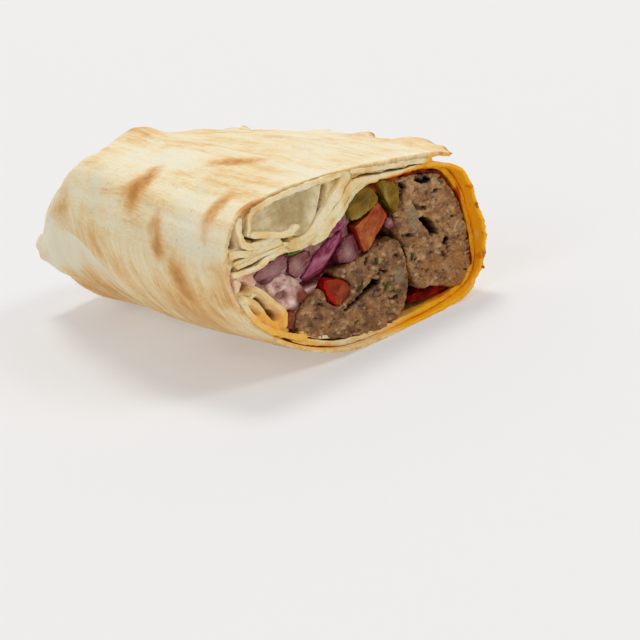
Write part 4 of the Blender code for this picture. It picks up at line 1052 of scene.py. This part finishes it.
def wet_food(name, colours, edge_colour, pale, deep, roughness=0.14, lined=0.2):
    """A wet, clear piece of vegetable. `colours` run from its darkest to its palest, mixed by soft noise,
    with faint lines along its length; the attributes skin, pale and deep say where its edge, palest and
    deepest colours lie. Its juice stands on it in beads, drawn 0.7 mm wide so that they show."""
    made, tree, place = new_material(name)
    blotch = add(tree, "ShaderNodeTexNoise", {"Vector": place, "Scale": scale_for(3.03), "Detail": 5,
                                              "Roughness": 0.65})
    beads = add(tree, "ShaderNodeTexVoronoi", {"Vector": place, "Scale": scale_for(0.6897)}, feature="SMOOTH_F1")
    fibre = add(tree, "ShaderNodeAttribute", attribute_name="fibre").outputs["Fac"]
    # The attribute fibre is in mm, so 2.2 lines lie in each.
    lines = add(tree, "ShaderNodeTexNoise", {"Vector": add(tree, "ShaderNodeCombineXYZ", {0: fibre}).outputs[0],
                                             "Scale": 2.2, "Detail": 2})
    amount = add(tree, "ShaderNodeMix", {0: lined, 2: blotch.outputs["Fac"], 3: lines.outputs["Fac"]})
    stops = [(0.36 + 0.28 * i / (len(colours) - 1), colour) for i, colour in enumerate(colours)]
    colour = add(tree, "ShaderNodeValToRGB", {"Fac": amount.outputs[0]}, stops=stops).outputs[0]
    for key, tint, low, high in (("pale", pale, 0.4, 1.9), ("deep", deep, 0.5, 1.4),
                                 ("skin", edge_colour, 0.7, 1.2)):
        colour = stained(tree, colour, key, tint, low, high, 0.9, blotch.outputs["Fac"], 0.8)
    height = add(tree, "ShaderNodeMath", {0: beads.outputs["Distance"], 1: -0.35, 2: amount.outputs[0]},
                 operation="MULTIPLY_ADD")
    finish(tree, colour, height.outputs[0], 0.4, {
        "Roughness": roughness, "IOR": 1.36, "Specular IOR Level": 0.28, "Subsurface Weight": 0.2,
        "Subsurface Radius": (1.0, 0.4, 0.3), "Subsurface Scale": 1.0 * MM})
    return made


WET_FOOD = {
    "tomato_flesh": wet_food("tomato flesh, raw", ("#8A3810", "#A84E1C", "#BE6A2C"), "#8A1408", "#D08A44",
                             "#92200E"),
    "tomato_ripe": wet_food("tomato flesh, ripe", ("#781A02", "#963006", "#AC480C"), "#A60A02", "#9C4E12",
                            "#720C02"),
    "tomato_soaked": wet_food(
        "tomato, soaked in sauce", ("#5C2212", "#763420", "#904A32"), "#6E2214", "#A06A52", "#4E1A0C"),
    "pickled_cucumber": wet_food(
        "cucumber, pickled", ("#644A02", "#805E02", "#987608"), "#6C5402", "#B8A24A", "#584606"),
    "red_onion": wet_food(
        "red onion, pickled", ("#661834", "#90385A", "#B8687E"), "#6A0E2A", "#C88C9A", "#4A0616", lined=0.45),
    "salad_leaf": wet_food("salad leaf", ("#3C5A14", "#56741E", "#7C8E34"), "#3C5A14", "#7C8E34",
                           "#3C5A14", 0.3),
    "red_onion_inner": wet_food(
        "red onion, inner layers", ("#54222C", "#804244", "#AE786E"), "#6C1634", "#C09A94", "#40101C",
        lined=0.6),
}


def crisp(points):
    """An outline with its corners kept sharp: each side is given by points at 10% and 90% of its length."""
    points = np.asarray(points, float)
    ahead = np.roll(points, -1, axis=0) - points
    return np.stack([points + 0.1 * ahead, points + 0.9 * ahead], axis=1).reshape(-1, 2)


def smooth_flesh(outline):
    """Relief for a wet piece with this outline: soft swells, and faint ridges along its longest direction,
    whose distance across it is the attribute fibre."""
    points = np.asarray(outline, float)
    spread = points - points.mean(axis=0)
    length_way = np.linalg.svd(spread, full_matrices=False)[2][0]

    def relief(x, z, depth, inward):
        at = np.stack([x, z, depth], axis=-1)
        off = (x - points[:, 0].mean()) * -length_way[1] + (z - points[:, 1].mean()) * length_way[0]
        fibre = off + 0.5 * cloudy(at, (4, 4, 6), 2, 121) + 0.15 * cloudy(at, 1.2, 2, 124)
        stands = (0.6 * cloudy(at, 2.8, 2, 122) + 0.24 * cloudy(at, 0.9, 2, 123)
                  + 0.05 * np.sin(2 * math.pi * fibre / 0.9) + 0.1 * smoothstep(0, 1.5, inward))
        skin = np.zeros_like(x)
        for run in TOMATO_SKIN + ONION_RIM:
            skin = np.maximum(skin, smoothstep(-0.35, 0.25, along_discs(x, z, run)))
        skin = np.maximum(skin, 0.7 * smoothstep(0.4, 0.0, inward))
        # deep also darkens each piece where it runs back from the cut: painted shade.
        return stands, {"fibre": fibre, "skin": skin, "pale": in_patches(x, z, PALE_SPOTS, 1),
                        "deep": np.maximum(in_patches(x, z, DEEP_SPOTS, 1), smoothstep(1, 3, depth))}
    return relief


for name, slot, paint, proud, length, rim_radius, outline in SOFT_FILLINGS:
    sharp = slot in ("tomato", "pickle")
    piece = cut_piece(name + "_cut", crisp(outline), 0.15 if sharp else 0.3, proud, length, rim_radius,
                      SOFT_STEP, smooth_flesh(outline))
    piece.data.materials.append(WET_FOOD[paint])
    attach(piece, "root")
    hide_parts(name)


# === The sauces ============================================================================================
# Yogurt sauce, stained pink by the onion, lies in a wet uneven mass at the left, and a thick red chilli sauce
# has run to the bottom on the right. Both are glossy and rounded, as a spoonful is.
SAUCES = (
    ("yogurt_sauce", 0.0, 1.6, (
        (-18.4, 23.5), (-22.0, 25.7), (-26.6, 25.6), (-26.0, 22.0), (-23.4, 18.4), (-20.6, 16.7), (-16.9, 18.7),
        (-17.2, 21.0))),
    ("chilli_sauce", -0.6, 0.7, (
        (23.0, 6.0), (18.0, 6.9), (14.3, 6.5), (14.9, 5.3), (20.0, 4.7), (26.5, 4.4))),
)
SAUCE_HOLLOWS = ((1.6, ((-25.2, 21.8, 0.7), (-23.4, 21.6, 1.0))),
                 (0.6, ((-24.7, 24.1, 0.2), (-24.3, 24.1, 0.2))),
                 (0.6, ((-22.4, 25.0, 0.15), (-22.0, 24.9, 0.2))))
# Where tomato juice has turned the sauce brown-red: x, z, half width, half height.
BROWN_SAUCE = ((-17.9, 19.0, 2.7, 3.4), (-21.8, 16.0, 2.8, 2.2))
# Sauce clings between the onions as well; where they meet the meat it lies deeper and is dark crimson, red from
# their juice and darkened as painted shade.
SAUCE_FILM = (
    (-30.6, 27.0), (-25.0, 31.0), (-17.0, 31.0), (-9.0, 32.0), (-1.0, 34.6), (1.4, 31.0), (2.6, 26.0),
    (3.0, 22.8), (-3.0, 21.6), (-9.0, 21.0), (-13.0, 19.2), (-16.5, 17.8), (-20.5, 15.4), (-24.6, 13.5),
    (-25.6, 17.5), (-28.5, 22.5),
)
FILM_MIDDLE = (-14.0, 25.0)
FILM_DEPTH = 1.3
# Where the film lies deeper and darker under the onions, painted shade: x, z, radius along a line.
CRIMSON = ((-17.5, 21.0, 0.6), (-12.0, 21.8, 1.6), (-5.0, 23.0, 1.6), (1.5, 24.0, 0.8), (1.6, 30.0, 0.6))
# A line of chilli sauce shows between the meat and the bread, over the top and down the right.
CHILLI_LINE = (
    (19.0, 37.6), (22.0, 37.1), (25.0, 36.3), (28.6, 34.9), (30.8, 32.9), (32.6, 29.6),
    (34.2, 25.6), (35.1, 20.1), (35.3, 15.9), (34.9, 11.9), (34.3, 8.2), (32.9, 5.6))
# Mixed with juice it has run in behind the pickles and over the top of the meat.
CHILLI_TOP = ((6.0, 37.6), (9.0, 37.2), (11.0, 36.8), (14.0, 36.9), (18.0, 37.2))


def sauce(name, colours, stain, mirror=0.3):
    """A thick glossy sauce: noise mixes its colours, and the attribute edge stains it where it meets the rest
    and, as painted shade, in its hollows."""
    made, tree, place = new_material(name)
    swirl = add(tree, "ShaderNodeTexNoise", {"Vector": place, "Scale": scale_for(3.846), "Detail": 5,
                                             "Roughness": 0.6, "Distortion": 0.3})
    beads = add(tree, "ShaderNodeTexVoronoi", {"Vector": place, "Scale": scale_for(0.7692)}, feature="SMOOTH_F1")
    stops = [(0.38 + 0.24 * i / (len(colours) - 1), colour) for i, colour in enumerate(colours)]
    colour = add(tree, "ShaderNodeValToRGB", {"Fac": swirl.outputs["Fac"]}, stops=stops)
    edge = add(tree, "ShaderNodeAttribute", attribute_name="edge").outputs["Fac"]
    colour = add(tree, "ShaderNodeMix", {0: edge, 6: colour.outputs[0], 7: linear(stain)}, data_type="RGBA")
    height = add(tree, "ShaderNodeMath", {0: beads.outputs["Distance"], 1: -0.3, 2: swirl.outputs["Fac"]},
                 operation="MULTIPLY_ADD")
    finish(tree, colour.outputs[2], height.outputs[0], 0.4, {
        "Roughness": 0.14, "IOR": 1.38, "Specular IOR Level": mirror, "Subsurface Weight": 0.35,
        "Subsurface Radius": (1.0, 0.5, 0.4), "Subsurface Scale": 1.2 * MM})
    return made


def poured(x, z, depth, inward):
    """A spoonful's surface: soft swells of 3 mm run together, with a hollow where it pulled away."""
    at = np.stack([x, z, depth], axis=-1)
    stands = 0.6 * cloudy(at, 2.6, 2, 142) + 0.3 * cloudy(at, 1.0, 2, 144) + 0.15 * smoothstep(0, 2.0, inward)
    hollow = np.zeros_like(x)
    for deep, discs in SAUCE_HOLLOWS:
        inside = smoothstep(-0.4, 0.5, along_discs(x, z, discs))
        stands, hollow = stands - deep * inside, np.maximum(hollow, inside)
    # The hollows take the stain as well: painted shade.
    edge = 0.25 * smoothstep(0.1, 0.45, cloudy(at, 1.7, 2, 143)) + in_patches(x, z, BROWN_SAUCE) + 0.7 * hollow
    return stands, {"edge": np.clip(edge, 0, 1)}


SAUCE_PAINT = {
    "yogurt_sauce": sauce("yogurt sauce, stained by onion", ("#BC9084", "#D8B0A4", "#EED8CC"), "#843C2C"),
    "chilli_sauce": sauce("chilli sauce, thick", ("#4A0000", "#740400", "#A01400"), "#3A0600", 0.08),
    "chilli_run_in": sauce("chilli sauce, mixed with juice", ("#4A1604", "#7A2A0A", "#A04812"),
                           "#3A0600", 0.15),
    "chilli_film": sauce("chilli sauce, dried at the edge", ("#3E0C02", "#661404", "#9A2004"), "#3A0600", 0.15),
}
for name, proud, rim_radius, outline in SAUCES:
    spoonful = cut_piece(name + "_spoonful", outline, 0.5, proud, 84, rim_radius, SOFT_STEP, poured)
    spoonful.data.materials.append(SAUCE_PAINT[name])
    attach(spoonful, "root")
    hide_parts(name)

for name, thickness, proud, back, outline, seed, paint in (
        ("chilli_sauce_film", 0.75, 0.2, 16, CHILLI_LINE, 146, "chilli_film"),
        ("chilli_sauce_top", 2.6, -0.9, 10, CHILLI_TOP, 147, "chilli_run_in")):
    run_in = ribbon(name, thickness, proud, back, outline, seed, SAUCE_PAINT[paint])
    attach(run_in, "root")
    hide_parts("chilli_sauce")

x, z = fanned(SAUCE_FILM, 0.35, FILM_MIDDLE, 44)[2:]
at = on_cut(x, z)
crimson = smoothstep(-0.8, 0.6, along_discs(x, z, CRIMSON))
depth = FILM_DEPTH + 0.7 * cloudy(at, 2.2, 3, 151) + 1.6 * crimson
film = surface("yogurt_sauce_film", carried(x, z, depth, ORIGIN), {
    "edge": crimson + 0.5 * smoothstep(0.0, 0.6, cloudy(at, 2.0, 3, 152))}, around=True)
film.data.materials.append(sauce("yogurt sauce, thin and crimson", ("#A4706A", "#C08C84", "#DCB8AE"),
                                 "#5C0E18"))
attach(film, "root")
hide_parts("yogurt_sauce")


# === Chopped parsley and crumbs ============================================================================
# Bits of chopped parsley show in the cut meat, and toasted crumbs cling to the cut edge of the outer turn where
# the knife tore it. Each is a small closed lump: parsley flat, a crumb round.
# Parsley: x, z, depth, half length in mm, turn in degrees.
PARSLEY = (
    (16.3, 16.8, -0.8, 1.1, 70), (17.2, 15.9, -0.8, 0.6, 20), (5.5, 19.5, -0.5, 0.9, 60),
    (7.0, 12.4, -0.6, 1.3, 35), (6.2, 13.2, -0.6, 0.7, 100), (9.6, 10.1, -0.6, 1.1, -20),
    (10.7, 9.7, -0.6, 0.7, 40), (-0.6, 15.6, -0.6, 1.2, 50), (-1.6, 14.6, -0.6, 0.8, 10),
    (-4.4, 7.3, -0.6, 0.9, 20), (8.2, 22.4, -0.3, 0.6, 0), (29.8, 32.0, -0.7, 0.9, -30),
    (6.7, 33.6, -0.6, 0.9, 60), (-12.0, 9.6, -0.6, 0.5, 80), (20.4, 12.0, -0.9, 0.5, 10),
    (26.4, 22.4, -0.9, 0.5, 0),
)
CRUMBS = ((37.4, 23.7, 0.45), (37.5, 22.9, 0.3), (37.6, 16.0, 0.25), (36.8, 10.8, 0.5), (36.5, 10.1, 0.3),
          (35.6, 7.4, 0.4))


def lumps(name, centres, sizes, turns, seed):
    """Small closed lumps as one mesh. Each is a ball of 8 by 12 faces, its radius made uneven by noise,
    scaled to its own half sizes (x, y, z), turned in the plane of the cut and put at its centre."""
    down, round_it = np.meshgrid(np.linspace(0, math.pi, 9), np.linspace(0, 2 * math.pi, 13), indexing="ij")
    ball = np.stack([np.sin(down) * np.cos(round_it), np.cos(down), np.sin(down) * np.sin(round_it)], axis=-1)
    shifts = np.arange(len(centres))[:, None, None, None] * np.array((7.3, 3.1, 5.7))
    radius = 1 + 0.45 * cloudy(ball[None] * 1.5 + shifts, 1.0, 2, seed)
    shaped = ball[None] * radius[..., None] * np.asarray(sizes)[:, None, None]
    turns = np.radians(turns)[:, None, None]
    x = shaped[..., 0] * np.cos(turns) - shaped[..., 2] * np.sin(turns)
    z = shaped[..., 0] * np.sin(turns) + shaped[..., 2] * np.cos(turns)
    points = np.stack([x, shaped[..., 1], z], axis=-1) + np.asarray(centres)[:, None, None]
    index = np.arange(len(centres) * 9 * 13).reshape(len(centres), 9, 13)
    quads = np.stack([index[:, :-1, :-1], index[:, :-1, 1:], index[:, 1:, 1:], index[:, 1:, :-1]], axis=-1)
    mesh = bpy.data.meshes.new(name)
    mesh.from_pydata(carried(points[..., 0], points[..., 2], points[..., 1], ORIGIN).reshape(-1, 3) * MM, [],
                     quads.reshape(-1, 4).tolist())
    return in_scene(name, mesh, {})


parsley = np.array(PARSLEY)
herb = lumps("kofta_parsley", parsley[:, (0, 2, 1)], parsley[:, 3:4] * (1.0, 0.4, 0.32), parsley[:, 4], 161)
herb.data.materials.append(wet_food("parsley, chopped", ("#2A3A10", "#3E4E18", "#5A6830"), "#2A3A10", "#5A6830",
                                    "#2A3A10", 0.45))
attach(herb, "root")

crumb_places = np.array(CRUMBS)
crumb_depth = -LIP_SHARE * LIP_RIGHT * np.clip((42 - crumb_places[:, 1]) / 8, 0.25, 1) - 0.3
crumbs = lumps("flatbread_crumbs", np.stack([crumb_places[:, 0] - 0.4, crumb_depth, crumb_places[:, 1]],
                                            axis=1),
               crumb_places[:, 2:3] * (1.0, 1.0, 1.2), 40.0 * np.arange(len(CRUMBS)), 162)
crumbs.data.materials.append(flatbread("flatbread crumbs, toasted", (
    (0.30, "#D89A3A"), (0.50, "#B87426"), (0.70, "#8A5018")), 0.1, 0.6))
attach(crumbs, "root")


# === Floor, light and camera ===============================================================================
# A pale sweep of floor that curves up into the backdrop, and wide soft lamps above and behind, as in a studio
# picture of food. The camera looks down on the cut from its left and is turned a little, as the photographer's.
FLOOR_COLOUR = "#CACACA"
FLOOR_GLOW = 0.285
SWEEP_NEAR = -0.7
SWEEP_FAR = 1.6
SWEEP_RADIUS = 0.9
FRAME_SIDE = 640
CUT_PIXEL = (355, 252)
CUT_POINT = (0.0, 24.0)
AZIMUTH = -35.0
ELEVATION = 19.0
ROLL_ANGLE = 12.5
DISTANCE = 0.620
PIXELS_PER_MM = 4.09


def camera_frame():
    """The camera's right, up and backward directions and its place: it sees the cut's middle at CUT_PIXEL from
    DISTANCE, along the azimuth and elevation, turned by ROLL_ANGLE about its own line of sight."""
    a, e, r = (math.radians(v) for v in (AZIMUTH, ELEVATION, ROLL_ANGLE))
    back = np.array([math.sin(a) * math.cos(e), -math.cos(a) * math.cos(e), math.sin(e)])
    level = np.array([math.cos(a), math.sin(a), 0.0])
    upright = np.cross(back, level)
    right = math.cos(r) * level - math.sin(r) * upright
    up = math.sin(r) * level + math.cos(r) * upright
    focal = PIXELS_PER_MM / MM * DISTANCE
    aside = (CUT_PIXEL[0] - FRAME_SIDE / 2) / focal * DISTANCE
    above = -(CUT_PIXEL[1] - FRAME_SIDE / 2) / focal * DISTANCE
    target = carried(CUT_POINT[0], CUT_POINT[1], 0.0, ORIGIN) * MM
    return right, up, back, target - aside * right - above * up + DISTANCE * back, focal


def standing(axes, spot):
    """A matrix whose columns are three axes and a place."""
    return Matrix(np.vstack([np.column_stack([*axes, spot]), (0, 0, 0, 1)]).tolist())


right, up, back, eye, focal = camera_frame()
lens = bpy.data.cameras.new("camera")
lens.sensor_width = 36.0
lens.lens = focal / FRAME_SIDE * lens.sensor_width
lens.clip_end = 20
camera = bpy.data.objects.new("camera", lens)
camera.matrix_world = standing((right, up, back), eye)
bpy.context.scene.collection.objects.link(camera)
bpy.context.scene.camera = camera

# The sweep runs back level, square to the camera's azimuth, and then bends up through 80 degrees.
sweep_share = np.linspace(0, 1, 60)
bend_angle = smoothstep(0.45, 0.8, sweep_share) * math.radians(80)
steps = np.full(60, (SWEEP_FAR - SWEEP_NEAR + SWEEP_RADIUS) / 59)
sweep_y = SWEEP_NEAR + np.concatenate([[0], np.cumsum(steps[1:] * np.cos(bend_angle[1:]))])
sweep_z = np.concatenate([[0], np.cumsum(steps[1:] * np.sin(bend_angle[1:]))])
sideways = np.linspace(-2.2, 2.2, 9)
heading = math.radians(-AZIMUTH)
run = np.stack(np.broadcast_arrays(
    sideways[None] * math.cos(heading) + sweep_y[:, None] * math.sin(heading),
    -sideways[None] * math.sin(heading) + sweep_y[:, None] * math.cos(heading), sweep_z[:, None]), axis=-1)
floor = surface("floor", run / MM)
# Matt white card has no shine, so the sweep stays even; a little light of its own keeps the shadows soft.
floor_paint = bpy.data.materials.new("matt card, white")
floor_paint.use_nodes = True
floor_shader = floor_paint.node_tree.nodes["Principled BSDF"]
floor_shader.inputs["Base Color"].default_value = linear(FLOOR_COLOUR)
floor_shader.inputs["Emission Color"].default_value = linear("#F6F4F6")
floor_shader.inputs["Emission Strength"].default_value = FLOOR_GLOW
floor_shader.inputs["Roughness"].default_value = 0.9
floor_shader.inputs["Specular IOR Level"].default_value = 0.1
floor.data.materials.append(floor_paint)

# Lamps: place in metres, width, watts, colour.
LAMPS = (
    ((0.9, 1.15, 3.7), 1.1, 50.0, "#FFFEFA"),
    ((1.3, -2.2, 2.4), 1.2, 28.0, "#FFFFFF"),
    ((-2.6, -0.4, 2.3), 2.4, 23.0, "#FFFFFF"),
)
for number, (spot, width, watts, colour) in enumerate(LAMPS):
    lamp = bpy.data.lights.new(f"softbox_{number}", "AREA")
    lamp.size = width
    lamp.energy = watts
    lamp.color = linear(colour)[:3]
    holder = bpy.data.objects.new(lamp.name, lamp)
    away = np.array(spot) / np.linalg.norm(spot)
    level = np.cross((0, 0, 1), away) / np.linalg.norm(np.cross((0, 0, 1), away))
    holder.matrix_world = standing((level, np.cross(away, level), away), spot)
    bpy.context.scene.collection.objects.link(holder)
world = bpy.data.worlds.new("studio")
world.use_nodes = True
world.node_tree.nodes["Background"].inputs["Color"].default_value = linear("#F4F3F1")
world.node_tree.nodes["Background"].inputs["Strength"].default_value = 0.47
bpy.context.scene.world = world
bpy.context.scene.view_settings.view_transform = "Standard"
